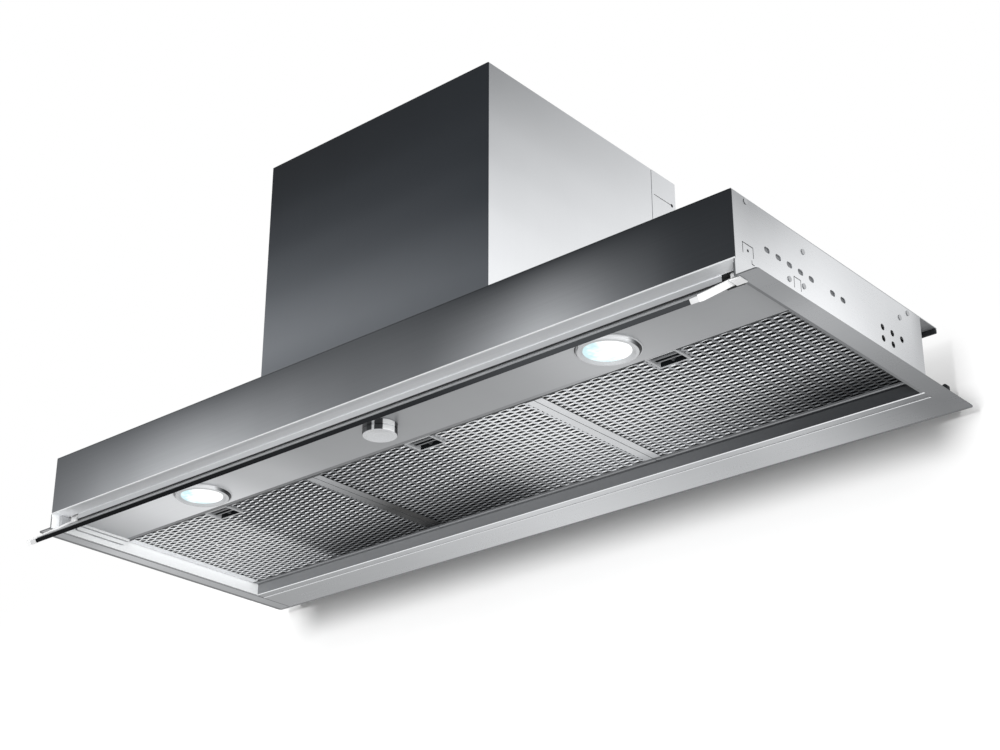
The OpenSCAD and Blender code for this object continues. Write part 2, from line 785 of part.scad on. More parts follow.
module lamp_ring(side) {
    out = lamp_ring_d / 2;
    in = lamp_lens_d / 2 + 0.15;
    top = lamp_ring_h - seat_gap;
    color("silver") translate([side * lamp_x, lamp_y, ring_z0]) rotate_extrude()
        polygon([[in - 1, 0], [out - 0.8, 0], [out, 0.8], [out, top], [in, top], [in, 0.7], [in - 1, 0.7]]);
}

module lamp_lens(side) {
    color("azure") translate([side * lamp_x, lamp_y, ring_z0 + 0.75])
        cylinder(r = lamp_lens_d / 2, h = 2);
}

module lamp_housing(side) {
    z0 = ceiling_z + seat_gap;
    z1 = ceiling_z + lamp_can_h;
    color("silver") union() {
        ring_z(side * lamp_x, lamp_y, z0, z1, lamp_can_r, lamp_can_r - 1.5);
        translate([side * lamp_x, lamp_y, z1 - 2]) cylinder(r = lamp_can_r, h = 2);
        for (s = [-1, 1]) translate([side * lamp_x + s * (lamp_can_r + 2.5), lamp_y, 0])
            block([-3.5, -4, ceiling_z + skin + 0.3], [3.5, 4, ceiling_z + skin + 1.5]);
    }
}

module lamp_leds() {
    color("lightyellow") for (s = [-1, 1])
        translate([s * lamp_x, lamp_y, ceiling_z + lamp_can_h - 4])
            cylinder(r = lamp_can_r - 1.9, h = 1.6);
}

module knob_cap() {
    r = knob_d / 2;
    color("silver") translate([0, knob_y, knob_z0]) difference() {
        rotate_extrude() polygon([[0, 0], [r - 0.7, 0], [r, 0.7], [r, knob_cap_h - 0.4],
            [r - 1.4, knob_cap_h - 0.4], [r - 1.4, knob_cap_h], [0, knob_cap_h]]);
        translate([0, 0, 2]) cylinder(r = spindle_d / 2 + 0.02, h = knob_cap_h);
    }
}

module knob_base_ring() {
    color("silver")
        ring_z(0, knob_y, knob_z1, ceiling_z - seat_gap, knob_d / 2 - 0.1, spindle_d / 2 + 3);
}

module knob_spindle() {
    color("silver") translate([0, knob_y, knob_z0 + 2.1])
        cylinder(r = spindle_d / 2, h = spindle_top - knob_z0 - 2.1);
}

module rotary_switch() {
    z0 = ceiling_z + skin + 0.3;
    color("dimgray") difference() {
        block([-15, knob_y - 15, z0], [15, knob_y + 15, z0 + 20]);
        translate([0, knob_y, z0 - 1]) cylinder(r = spindle_d / 2 + running, h = spindle_top + 0.5 - z0 + 1);
    }
}

module filter_frame(i) {
    x0 = i * filter_pitch - filter_w / 2;
    x1 = x0 + filter_w;
    z1 = filter_z + filter_h;
    t = filter_t;
    color("lightgray") difference() {
        block([x0, filter_y0, filter_z], [x1, filter_y1, z1]);
        block([x0 + t, filter_y0 + t, filter_z + t], [x1 - t, filter_y1 - t, z1 - t]);
        block([x0 + filter_side_w, filter_y0 + filter_front_w, filter_z - 1],
            [x1 - filter_side_w, filter_y1 - filter_rear_w, filter_z + t + 1]);
        block([x0 + 5, filter_y0 + filter_front_w, z1 - t - 1], [x1 - 5, filter_y1 - 5, z1 + 1]);
        translate([i * filter_pitch, 0, 0])
            block([-latch_w / 2 - 0.3, filter_y0 - 1, filter_z - 1],
                [latch_w / 2 + 0.3, filter_y0 + filter_front_w + 1, z1 + 1]);
    }
}

// Expanded-metal layer: staggered rhombic openings, left out around the latch
module filter_mesh(i) {
    in = filter_t + 0.2;
    w = filter_w - 2 * in;
    y0 = filter_y0 + in;
    y1 = filter_y1 - in;
    col = (filter_w - 2 * filter_side_w - 6) / (mesh_cols + 0.5);
    row_y0 = filter_y0 + filter_front_w + 2;
    row = (filter_y1 - filter_rear_w - 2 - row_y0) / mesh_rows;
    hole = [0.36 * col, 0.4 * row];
    color("silver") translate([i * filter_pitch, 0, filter_z + filter_t + 0.2]) linear_extrude(mesh_t)
        difference() {
            translate([-w / 2, y0]) square([w, y1 - y0]);
            for (r = [0:mesh_rows - 1], c = [0:mesh_cols - 1]) {
                place = c - (mesh_cols - 0.5) / 2 + (r % 2) / 2;
                if (r >= latch_rows || abs(place) > latch_cols)
                    translate([place * col, row_y0 + (r + 0.5) * row])
                        polygon([[-hole[0], 0], [0, -hole[1]], [hole[0], 0], [0, hole[1]]]);
            }
            translate([-latch_w / 2 - 0.5, y0 - 1]) square([latch_w + 1, latch_y1 + 0.5 - y0 + 1]);
        }
}

module latch_housing(i) {
    half = latch_w / 2;
    in = half - latch_wall;
    color("darkgray") translate([i * filter_pitch, 0, 0]) difference() {
        block([-half, latch_y0, latch_z0], [half, latch_y1, latch_z1]);
        block([-in, latch_y0 + latch_wall, latch_z0 - 1],
            [in, latch_y1 - latch_wall, latch_z1 - latch_wall + 0.5]);
        block([-tongue_w / 2 - latch_play, latch_y0 - 1, tongue_z - tongue_t / 2 - latch_play],
            [tongue_w / 2 + latch_play, latch_y0 + latch_wall + 1, tongue_z + tongue_t / 2 + latch_play]);
    }
}

// Slider with two finger grooves below and a tongue to the front
module latch_slider(i) {
    half = latch_w / 2 - latch_wall - latch_play;
    groove = (slider_y1 - slider_y0 - 3 * 1.6) / 2;
    color("black") translate([i * filter_pitch, 0, 0]) difference() {
        union() {
            block([-half, slider_y0, slider_z0], [half, slider_y1, slider_z1]);
            block([-tongue_w / 2, latch_y0 - 0.2, tongue_z - tongue_t / 2],
                [tongue_w / 2, slider_y0 + 1, tongue_z + tongue_t / 2]);
        }
        for (k = [0, 1]) translate([0, slider_y0 + 1.6 + k * (groove + 1.6), 0])
            block([-half + 1.6, 0, slider_z0 - 1], [half - 1.6, groove, slider_z0 + 2]);
    }
}

module latch_spring(i) {
    y0 = slider_y1 + 0.3;
    y1 = latch_y1 - latch_wall - 0.3;
    color("silver") translate([i * filter_pitch, y1, spring_z]) rotate([90, 0, 0]) difference() {
        cylinder(r = spring_r, h = y1 - y0);
        translate([0, 0, -1]) cylinder(r = spring_r - 0.5, h = y1 - y0 + 2);
    }
}

// Turns what is drawn closed into the open pose
module visor_opened() {
    translate([0, pivot_y, pivot_z]) rotate([visor_open, 0, 0]) translate([0, -pivot_y, -pivot_z])
        children();
}

module visor_pane() {
    color("black") visor_opened()
        block([-visor_half, pane_y0, pane_top - visor_t], [visor_half, pane_y1, pane_top]);
}

// Arm along the pane's end, with a foot behind the end cap and a boss round the pivot
module visor_arm(side) {
    arm_z0 = arm_top - arm_h;
    color("whitesmoke") on_side(side) visor_opened() difference() {
        union() {
            block([arm_in, arm_y0, arm_z0], [arm_out, pivot_y, arm_top]);
            block([foot_x0, pane_y0 + cap_l, pane_top - visor_t], [arm_in + 0.5, pane_y1 - 1.8, pane_top]);
            rod_x(boss_in, arm_out, pivot_y, pivot_z, boss_r);
        }
        rod_x(boss_in - 1, arm_out + 1, pivot_y, pivot_z, pivot_d / 2 + running);
    }
}

module visor_end_caps() {
    color("lightgray") for (s = [-1, 1]) on_side(s) visor_opened()
        block([foot_x0, arm_y0, pane_top - visor_t - 0.2],
            [arm_in - seat_gap, pane_y0 + cap_l - 0.2, pane_top + 0.2]);
}

// Bracket at each front corner: a pin for the arm, and a leg down to a plate under the flange
module visor_hinges() {
    plate_x = [arm_out + 1.3, body_half + 1.7];
    plate_y = [2.6, 13.7];
    leg_x = [arm_out + 2.5, recess_half - 0.5];
    leg_y = [plate_y[0] + 6.4, plate_y[1] - 1.1];
    leg_z = 5;
    color("silver") for (s = [-1, 1]) on_side(s) union() {
        rod_x(boss_in, inner_half - seat_gap, pivot_y, pivot_z, pivot_d / 2);
        rod_x(arm_out + 0.3, inner_half - seat_gap, pivot_y, pivot_z, pivot_d / 2 + 1.5);
        block([leg_x[0], leg_y[0], leg_z], [leg_x[1], pivot_y + boss_r - 0.5, ledge_z - 0.4]);
        block([leg_x[0], leg_y[0], -flange_t - skin], [leg_x[1], leg_y[1], leg_z + 1]);
        block([plate_x[0], plate_y[0], -flange_t - skin],
            [plate_x[1], plate_y[1], -flange_t - seat_gap]);
    }
}

trim_flange();
side_panel(-1);  // side_panel_left
side_panel(1);  // side_panel_right
top_plate();
back_panel();
fascia_panel();
front_rail();
lamp_panel();
side_filler(-1);  // side_filler_left
side_filler(1);  // side_filler_right
rear_seal_strip();
rear_spacers();
panel_rivets();
chimney_cover();
chimney_rear_cover();
chimney_top_plate();
cable_gland();
outlet_collar();
damper_pins();
damper_flap(-1);  // damper_flap_left
damper_flap(1);  // damper_flap_right
scroll_housing();
scroll_side_plate();
impeller();
motor_shaft();
motor();
motor_bracket();
capacitor();
electronics_box();
lamp_ring(-1);  // lamp_ring_left
lamp_ring(1);  // lamp_ring_right
lamp_lens(-1);  // lamp_lens_left
lamp_lens(1);  // lamp_lens_right
lamp_housing(-1);  // lamp_housing_left
lamp_housing(1);  // lamp_housing_right
lamp_leds();
knob_cap();
knob_base_ring();
knob_spindle();
rotary_switch();
filter_frame(-1);  // filter_frame_left
filter_frame(0);  // filter_frame_centre
filter_frame(1);  // filter_frame_right
filter_mesh(-1);  // filter_mesh_left
filter_mesh(0);  // filter_mesh_centre
filter_mesh(1);  // filter_mesh_right
latch_housing(-1);  // latch_housing_left
latch_housing(0);  // latch_housing_centre
latch_housing(1);  // latch_housing_right
latch_slider(-1);  // latch_slider_left
latch_slider(0);  // latch_slider_centre
latch_slider(1);  // latch_slider_right
latch_spring(-1);  // latch_spring_left
latch_spring(0);  // latch_spring_centre
latch_spring(1);  // latch_spring_right
visor_pane();
visor_arm(-1);  // visor_arm_left
visor_arm(1);  // visor_arm_right
visor_end_caps();
visor_hinges();
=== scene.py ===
"""Built-in range hood: finishes for its solids, fuller pieces where the eye lands, and a studio."""

import json
import logging
import math
from contextlib import contextmanager
from dataclasses import dataclass, field
from enum import Enum
from typing import Callable, Iterator, Sequence

import bpy
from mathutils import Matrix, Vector


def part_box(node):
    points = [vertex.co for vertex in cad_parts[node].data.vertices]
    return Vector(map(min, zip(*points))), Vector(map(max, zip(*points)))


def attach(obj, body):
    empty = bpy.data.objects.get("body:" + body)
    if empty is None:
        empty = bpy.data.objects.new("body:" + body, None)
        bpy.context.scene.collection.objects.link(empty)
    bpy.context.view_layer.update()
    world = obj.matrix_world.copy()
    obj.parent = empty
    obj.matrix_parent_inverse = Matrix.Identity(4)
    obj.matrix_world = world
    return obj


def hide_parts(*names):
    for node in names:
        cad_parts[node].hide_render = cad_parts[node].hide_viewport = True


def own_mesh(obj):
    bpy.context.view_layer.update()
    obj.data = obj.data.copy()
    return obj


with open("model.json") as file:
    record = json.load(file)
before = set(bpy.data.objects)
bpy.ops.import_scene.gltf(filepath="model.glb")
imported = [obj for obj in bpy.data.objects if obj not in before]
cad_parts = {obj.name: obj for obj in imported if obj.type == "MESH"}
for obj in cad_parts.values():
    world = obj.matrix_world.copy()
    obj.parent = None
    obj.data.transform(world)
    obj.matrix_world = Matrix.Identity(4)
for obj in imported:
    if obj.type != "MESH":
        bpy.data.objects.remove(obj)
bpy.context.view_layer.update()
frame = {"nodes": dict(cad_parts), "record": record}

MM = 0.001
BODY_OF = {node: body for body, nodes in frame["record"]["behaviour"]["bodies"].items() for node in nodes}
SIDES = ("left", "centre", "right")
LAMP_X = 259.5
WHITE = (1.0, 1.0, 1.0, 1.0)
COOL = 1.7
# Points closer than these, in metres, become one: on a solid, and where openings of mesh meet
WELD = 0.000002
LATTICE_WELD = 0.00002
# Least part of a face's normal along an axis for a face that looks that way
FACING = 0.6
# Range that most of a noise lies in
NOISE_LOW, NOISE_HIGH = 0.3, 0.7
log = logging.getLogger("range_hood")

Colour = tuple[float, float, float, float]
Stops = tuple[tuple[float, float], ...]
Socket = bpy.types.NodeSocket
Material = bpy.types.Material
Piece = bpy.types.Object
FaceTest = Callable[[bpy.types.MeshPolygon], bool]


class Axis(Enum):
    """An axis of the hood's frame, by its place in a vector."""

    X = 0
    Y = 1
    Z = 2


def grey(level: float, cool: float = COOL) -> Colour:
    """Gives the linear colour of a display grey.

    Args:
        level: Display level from 0 to 255.
        cool: Display levels by which red lies below it, and blue a little more above it.

    Returns:
        The linear colour with full alpha.
    """
    shown = [min(max(value, 0.0), 255.0) / 255 for value in (level - cool, level, level + 1.3 * cool)]
    red, green, blue = (x / 12.92 if x <= 0.04045 else ((x + 0.055) / 1.055) ** 2.4 for x in shown)
    return (red, green, blue, 1.0)


# Node graphs


class Nodes:
    """A node tree, with short calls for adding to it."""

    def __init__(self, tree: bpy.types.NodeTree) -> None:
        """Takes the tree to add to."""
        self.tree = tree

    def add(self, kind: str, inputs: dict | None = None, **settings: object) -> bpy.types.Node:
        """Adds a node.

        Args:
            kind: The node's type name.
            inputs: Values or sockets for its inputs, by name or number.
            settings: Properties of the node itself.

        Returns:
            The new node.
        """
        node = self.tree.nodes.new(kind)
        for key, value in settings.items():
            setattr(node, key, value)
        for key, value in (inputs or {}).items():
            self.feed(node.inputs[key], value)
        return node

    def feed(self, socket: Socket, value: object) -> None:
        """Links a socket into socket, or sets it to a plain value."""
        if isinstance(value, Socket):
            self.tree.links.new(value, socket)
        else:
            socket.default_value = value

    def math(self, operation: str, first: object, second: object = 0.0, clamp: bool = False) -> Socket:
        """Gives operation on two numbers or sockets, kept within 0..1 where clamp is set."""
        inputs = {0: first, 1: second}
        return self.add("ShaderNodeMath", inputs, operation=operation, use_clamp=clamp).outputs[0]

    def rescale(self, value: object, low: float, high: float, to_low: float = 0.0,
                to_high: float = 1.0) -> Socket:
        """Maps value from low..high to to_low..to_high, clamped."""
        return self.add("ShaderNodeMapRange", {0: value, 1: low, 2: high, 3: to_low, 4: to_high}).outputs[0]

    def ramp(self, place: Socket, stops: Stops, colour: Callable[[float], Colour], smooth: bool) -> Socket:
        """Gives colours along a coordinate.

        Args:
            place: The coordinate that the stops are measured along, in metres.
            stops: Places in millimetres, each with its level, in rising order.
            colour: What turns a level into a colour.
            smooth: Whether the colours run through the stops in a curve.

        Returns:
            The colour socket.
        """
        low, high = stops[0][0], stops[-1][0]
        node = self.add("ShaderNodeValToRGB", {"Fac": self.rescale(place, low * MM, high * MM)})
        node.color_ramp.interpolation = "CARDINAL" if smooth else "LINEAR"
        elements = node.color_ramp.elements
        for at, level in stops[1:-1]:
            elements.new((at - low) / (high - low)).color = colour(level)
        for end in (0, -1):
            elements[end].color = colour(stops[end][1])
        return node.outputs["Color"]


class Graph(Nodes):
    """A material's node tree, with the calls that the finishes share."""

    def __init__(self, name: str) -> None:
        """Makes the material called name, with its Principled shader ready."""
        self.material = bpy.data.materials.new(name)
        self.material.use_nodes = True
        super().__init__(self.material.node_tree)
        self.shader = self.tree.nodes["Principled BSDF"]
        self.place = self.add("ShaderNodeTexCoord").outputs["Object"]
        self.split = self.add("ShaderNodeSeparateXYZ", {"Vector": self.place})

    def along(self, axis: Axis) -> Socket:
        """Gives the Object coordinate along axis."""
        return self.split.outputs[axis.value]

    def tones(self, place: Socket, stops: Stops, cool: float = COOL, smooth: bool = True) -> Socket:
        """Gives display greys along a coordinate, leaning to blue by cool levels."""
        return self.ramp(place, stops, lambda level: grey(level, cool), smooth)

    def blend(self, factor: object, first: object, second: object) -> Socket:
        """Mixes two colours by factor."""
        return self.add("ShaderNodeMix", {0: factor, 6: first, 7: second}, data_type="RGBA").outputs[2]

    def shade(self, colour: object, factor: Socket) -> Socket:
        """Makes colour lighter or darker by factor."""
        return self.add("ShaderNodeVectorMath", {0: colour, "Scale": factor}, operation="SCALE").outputs[0]

    def vector(self, operation: str, first: Socket, second: object = (0.0, 0.0, 0.0)) -> bpy.types.Node:
        """Adds operation on two vectors."""
        return self.add("ShaderNodeVectorMath", {0: first, 1: second}, operation=operation)

    def noise(self, scale: float | Sequence[float], detail: float = 2.0, rough: float = 0.5) -> Socket:
        """Gives noise from 0 to 1, its scale in waves a metre for all axes or for each."""
        waves = (scale,) * 3 if isinstance(scale, float) else scale
        stretched = self.add("ShaderNodeMapping", {"Vector": self.place, "Scale": waves})
        return self.add("ShaderNodeTexNoise", {"Vector": stretched.outputs[0], "Scale": 1.0,
                                               "Detail": detail, "Roughness": rough}).outputs["Fac"]

    def vary(self, noise: Socket, low: float, high: float) -> Socket:
        """Maps the range that most of a noise lies in to low..high."""
        return self.rescale(noise, NOISE_LOW, NOISE_HIGH, low, high)

    def bump(self, height: Socket, strength: float, depth: float) -> None:
        """Roughens the surface by height, depth metres deep."""
        node = self.add("ShaderNodeBump", {"Strength": strength, "Distance": depth, "Height": height})
        self.feed(self.shader.inputs["Normal"], node.outputs["Normal"])

    def set(self, **values: object) -> None:
        """Sets the shader's inputs, with spaces written as underscores."""
        for key, value in values.items():
            self.feed(self.shader.inputs[key.replace("_", " ")], value)


@dataclass(frozen=True)
class Tones:
    """Grey tones that run along one axis and change from one edge of a sheet to the other; most are painted
    light and shade.
    """

    axis: Axis
    first: Stops
    second: Stops = ()
    across: Axis = Axis.Z
    low: float = 0.0
    high: float = 1.0
    cool: float = COOL

    def socket(self, graph: Graph) -> Socket:
        """Builds the tones in graph and gives their colour socket."""
        colour = graph.tones(graph.along(self.axis), self.first, self.cool)
        if not self.second:
            return colour
        factor = graph.rescale(graph.along(self.across), self.low * MM, self.high * MM)
        return graph.blend(factor, colour, graph.tones(graph.along(self.axis), self.second, self.cool))


@dataclass(frozen=True)
class Patch:
    """Other tones on the part of a sheet that lies between two places along an axis, mostly painted highlight
    and shadow lines.
    """

    tones: Tones
    axis: Axis
    low: float
    high: float
    mirrored: bool = False

    def socket(self, graph: Graph, colour: Socket) -> Socket:
        """Lays the patch over colour in graph and gives the new colour socket."""
        place = graph.along(self.axis)
        if self.mirrored:
            place = graph.math("ABSOLUTE", place)
        offset = graph.math("ABSOLUTE", graph.math("SUBTRACT", place, (self.low + self.high) / 2 * MM))
        inside = graph.math("LESS_THAN", offset, (self.high - self.low) / 2 * MM)
        return graph.blend(inside, colour, self.tones.socket(graph))


def flat(level: float) -> Tones:
    """Gives one even tone."""
    return Tones(Axis.X, ((-500, level), (500, level)))


# Waves a metre of the brushing, across the grain and along it
FINE_GRAIN, COARSE_GRAIN = (1900.0, 9.0), (420.0, 3.0)


@dataclass(frozen=True)
class BrushedSheet:
    """Brushed steel sheet: fine grain along one axis, tones that on most sheets are painted reflections,
    highlights and shade, and faint handling marks.
    """

    name: str
    tones: Tones
    patches: tuple[Patch, ...] = ()
    grain: Axis = Axis.X
    grain_depth: float = 0.05
    roughness: float = 0.3
    metallic: float = 1.0
    gloss: float = 0.5

    def build(self) -> Material:
        """Builds the material."""
        graph = Graph(self.name)
        # The tones and patches carry painted light and shade
        colour = self.tones.socket(graph)
        for patch in self.patches:
            colour = patch.socket(graph, colour)
        grain = graph.math("ADD", graph.math("MULTIPLY", self.streaks(graph, FINE_GRAIN, 3.0), 0.6),
                           graph.math("MULTIPLY", self.streaks(graph, COARSE_GRAIN, 2.0), 0.4))
        brushed = graph.vary(grain, 1 - self.grain_depth, 1 + self.grain_depth)
        smudge = graph.vary(graph.noise(7.0, 4.0), 0.985, 1.015)
        rough = graph.vary(grain, self.roughness - 0.05, self.roughness + 0.05)
        marks = graph.rescale(graph.noise(16.0, 5.0, 0.6), 0.35, 0.75, -0.02, 0.04)
        graph.set(Base_Color=graph.shade(colour, graph.math("MULTIPLY", brushed, smudge)),
                  Metallic=self.metallic, Roughness=graph.math("ADD", rough, marks),
                  Specular_IOR_Level=self.gloss)
        graph.bump(grain, 0.12, 0.00006)
        return graph.material

    def streaks(self, graph: Graph, waves: tuple[float, float], detail: float) -> Socket:
        """Gives noise that is drawn out along the grain, with its waves a metre across and along it."""
        scale = [waves[0]] * 3
        scale[self.grain.value] = waves[1]
        return graph.noise(scale, detail)


def matt(name: str, tones: Tones, *patches: Patch, grain_depth: float = 0.05) -> BrushedSheet:
    """Gives a sheet that mirrors nothing, for faces that the photograph shows evenly lit."""
    return BrushedSheet(name, tones, patches, grain_depth=grain_depth, metallic=0.0, roughness=0.5)


@dataclass(frozen=True)
class MouldedPlastic:
    """Moulded plastic or rubber with a fine spark-eroded texture."""

    name: str
    colour: Colour
    roughness: float = 0.45
    texture: float = 0.15
    pitch: float = 1600.0
    gloss: float = 0.5

    def build(self) -> Material:
        """Builds the material."""
        graph = Graph(self.name)
        cloud = graph.vary(graph.noise(35.0, 4.0), 0.93, 1.06)
        wear = graph.rescale(graph.noise(60.0, 5.0), 0.35, 0.7, -0.04, 0.06)
        graph.set(Base_Color=graph.shade(self.colour[:3], cloud),
                  Roughness=graph.math("ADD", wear, self.roughness), Specular_IOR_Level=self.gloss)
        graph.bump(graph.noise(self.pitch), self.texture, 0.00005)
        return graph.material


@dataclass(frozen=True)
class TurnedMetal:
    """Turned metal: fine rings about an upright axis, with painted reflections, streaks of bright and dark
    laid across it.
    """

    name: str
    # Painted reflections: display levels across the part, along the direction facing degrees from X
    streaks: Stops
    centre: tuple[float, float]
    facing: float = 40.7
    face: float = 200.0
    face_z: tuple[float, float] = (0.0, 0.1)
    roughness: float = 0.24
    metallic: float = 0.25
    gloss: float = 0.2

    def build(self) -> Material:
        """Builds the material."""
        graph = Graph(self.name)
        middle = (self.centre[0] * MM, self.centre[1] * MM, 0.0)
        shift = graph.vector("SUBTRACT", graph.place, middle).outputs[0]
        turn = math.radians(self.facing)
        side = graph.vector("DOT_PRODUCT", shift, (math.cos(turn), math.sin(turn), 0.0)).outputs["Value"]
        level = graph.vector("MULTIPLY", shift, (1.0, 1.0, 0.0)).outputs[0]
        radius = graph.vector("LENGTH", level).outputs["Value"]
        rings = graph.add("ShaderNodeTexNoise", {"W": graph.math("MULTIPLY", radius, 2600.0), "Scale": 1.0,
                                                 "Detail": 2.0}, noise_dimensions="1D").outputs["Fac"]
        under = graph.rescale(graph.along(Axis.Z), self.face_z[0] * MM, self.face_z[1] * MM, 1.0, 0.0)
        # Painted reflections on the sides, a plain tone on the face below
        colour = graph.blend(under, graph.tones(side, self.streaks, smooth=False), grey(self.face))
        graph.set(Base_Color=graph.shade(colour, graph.vary(rings, 0.97, 1.03)), Metallic=self.metallic,
                  Roughness=graph.vary(rings, self.roughness - 0.04, self.roughness + 0.06),
                  Specular_IOR_Level=self.gloss)
        graph.bump(rings, 0.1, 0.00005)
        return graph.material


@dataclass(frozen=True)
class SmokedGlass:
    """Almost black glass with a polished surface, a painted reflection that lightens it towards +X, and faint
    dust.
    """

    name: str
    # Painted reflection, lighter towards +X
    tones: Stops = ((-407, 4), (-200, 7), (-60, 22), (60, 28), (150, 40), (260, 60), (407, 58))
    dust: float = 56.0
    gloss: float = 0.06

    def build(self) -> Material:
        """Builds the material."""
        graph = Graph(self.name)
        dust = graph.noise(260.0, 6.0, 0.7)
        glass = graph.tones(graph.along(Axis.X), self.tones)
        graph.set(Base_Color=graph.blend(graph.rescale(dust, 0.55, 0.8, 0.0, 0.25), glass, grey(self.dust)),
                  Roughness=graph.rescale(dust, 0.4, 0.8, 0.12, 0.24), Specular_IOR_Level=self.gloss)
        return graph.material


@dataclass(frozen=True)
class LitLens:
    """Frosted lamp lens lit from behind by a cluster of diodes."""

    name: str
    centre: tuple[float, float]
    strength: float = 0.9
    body: Colour = (0.2, 0.22, 0.22, 1.0)
    cold: Colour = (0.5, 0.76, 0.8, 1.0)

    def build(self) -> Material:
        """Builds the material."""
        graph = Graph(self.name)
        cells = graph.add("ShaderNodeTexVoronoi", {"Vector": graph.place, "Scale": 210.0, "Smoothness": 0.6},
                          feature="SMOOTH_F1").outputs["Distance"]
        aside = graph.math("SUBTRACT", graph.along(Axis.X), self.centre[0] * MM)
        patch = graph.math("SUBTRACT", graph.noise((40.0, 40.0, 10.0)), graph.math("MULTIPLY", aside, 14.0))
        tint = graph.rescale(graph.math("ADD", patch, graph.math("MULTIPLY", cells, 0.3)), 0.62, 0.9)
        graph.set(Base_Color=self.body, Roughness=0.25, Emission_Color=graph.blend(tint, WHITE, self.cold),
                  Emission_Strength=self.strength)
        graph.bump(cells, 0.4, 0.0004)
        return graph.material


# Shared shop tools


def deselect_all() -> None:
    """Leaves nothing selected."""
    if bpy.context.object and bpy.context.object.mode != "OBJECT":
        bpy.ops.object.mode_set(mode="OBJECT")
    bpy.ops.object.select_all(action="DESELECT")


def make_active(piece: Piece) -> None:
    """Selects piece alone and makes it the active object."""
    deselect_all()
    piece.select_set(True)
    bpy.context.view_layer.objects.active = piece


def pick(piece: Piece, faces: FaceTest) -> None:
    """Selects the faces of piece that pass the test, and enters edit mode on them."""
    make_active(piece)
    mesh = piece.data
    mesh.vertices.foreach_set("select", [False] * len(mesh.vertices))
    mesh.edges.foreach_set("select", [False] * len(mesh.edges))
    for face in mesh.polygons:
        face.select = faces(face)
    bpy.ops.object.mode_set(mode="EDIT")
    bpy.ops.mesh.select_mode(type="FACE")


@contextmanager
def editing(piece: Piece, elements: str = "") -> Iterator[None]:
    """Opens piece in edit mode with all of it selected, as elements if they are named, and closes it."""
    make_active(piece)
    bpy.ops.object.mode_set(mode="EDIT")
    if elements:
        bpy.ops.mesh.select_mode(type=elements)
    bpy.ops.mesh.select_all(action="SELECT")
    yield
    bpy.ops.object.mode_set(mode="OBJECT")


def turn_out() -> None:
    """Turns every face of the mesh in edit mode outwards."""
    bpy.ops.mesh.select_all(action="SELECT")
    bpy.ops.mesh.normals_make_consistent(inside=False)


def adopt(name: str) -> Piece:
    """Names the object just added and puts its place, turn and size into its mesh."""
    piece = bpy.context.object
    piece.name = name
    make_active(piece)
    bpy.ops.object.transform_apply(location=True, rotation=True, scale=True)
    return piece


def modify(piece: Piece, kind: str, **settings: object) -> None:
    """Puts a modifier of the given kind and settings on piece and applies it."""
    modifier = piece.modifiers.new(kind.lower(), kind)
    for key, value in settings.items():
        setattr(modifier, key, value)
    bpy.context.view_layer.update()
    make_active(piece)
    bpy.ops.object.modifier_apply(modifier=modifier.name)


def repeat(piece: Piece, step: Sequence[float], count: int, weld: float = 0.0) -> None:
    """Makes count of piece, step apart in millimetres, and joins points closer than weld metres."""
    modify(piece, "ARRAY", count=count, use_relative_offset=False, use_constant_offset=True,
           constant_offset_displace=[length * MM for length in step], use_merge_vertices=weld > 0,
           merge_threshold=weld)


def seat(piece: Piece, node: str, material: Material, replace: bool = True) -> None:
    """Dresses a finished piece, sets it on the body of a node and lets it stand for that node.

    Args:
        piece: The finished piece, placed in its mesh.
        node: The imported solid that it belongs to.
        material: Its finish.
        replace: Whether the piece stands for the node.
    """
    piece.data.materials.clear()
    piece.data.materials.append(material)
    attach(piece, BODY_OF[node])
    if replace:
        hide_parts(node)
    log.info("%s: %d faces", piece.name, len(piece.data.polygons))


def paint(piece: Piece, material: Material,
          faces: FaceTest) -> None:
    """Gives the faces of piece that pass the test a material of their own."""
    piece.data.materials.append(material)
    slot = len(piece.data.materials) - 1
    for face in piece.data.polygons:
        if faces(face):
            face.material_index = slot


def softened(node: str, width: float, material: Material, steps: int = 2) -> Piece:
    """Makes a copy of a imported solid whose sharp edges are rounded, as folded and moulded edges are.

    Args:
        node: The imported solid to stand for.
        width: Width of the rounding in millimetres.
        material: The finish.
        steps: Segments of the rounding.

    Returns:
        The new piece.
    """
    piece = bpy.data.objects.new(node + "_formed", frame["nodes"][node].data.copy())
    bpy.context.scene.collection.objects.link(piece)
    with editing(piece):
        bpy.ops.mesh.remove_doubles(threshold=WELD)
        bpy.ops.mesh.dissolve_limited(angle_limit=math.radians(0.8))
    modify(piece, "BEVEL", width=width * MM, segments=steps, limit_method="ANGLE",
           angle_limit=math.radians(50), use_clamp_overlap=True)
    bpy.ops.object.shade_smooth_by_angle(angle=math.radians(32))
    modify(piece, "WEIGHTED_NORMAL", keep_sharp=True, weight=100)
    seat(piece, node, material)
    return piece


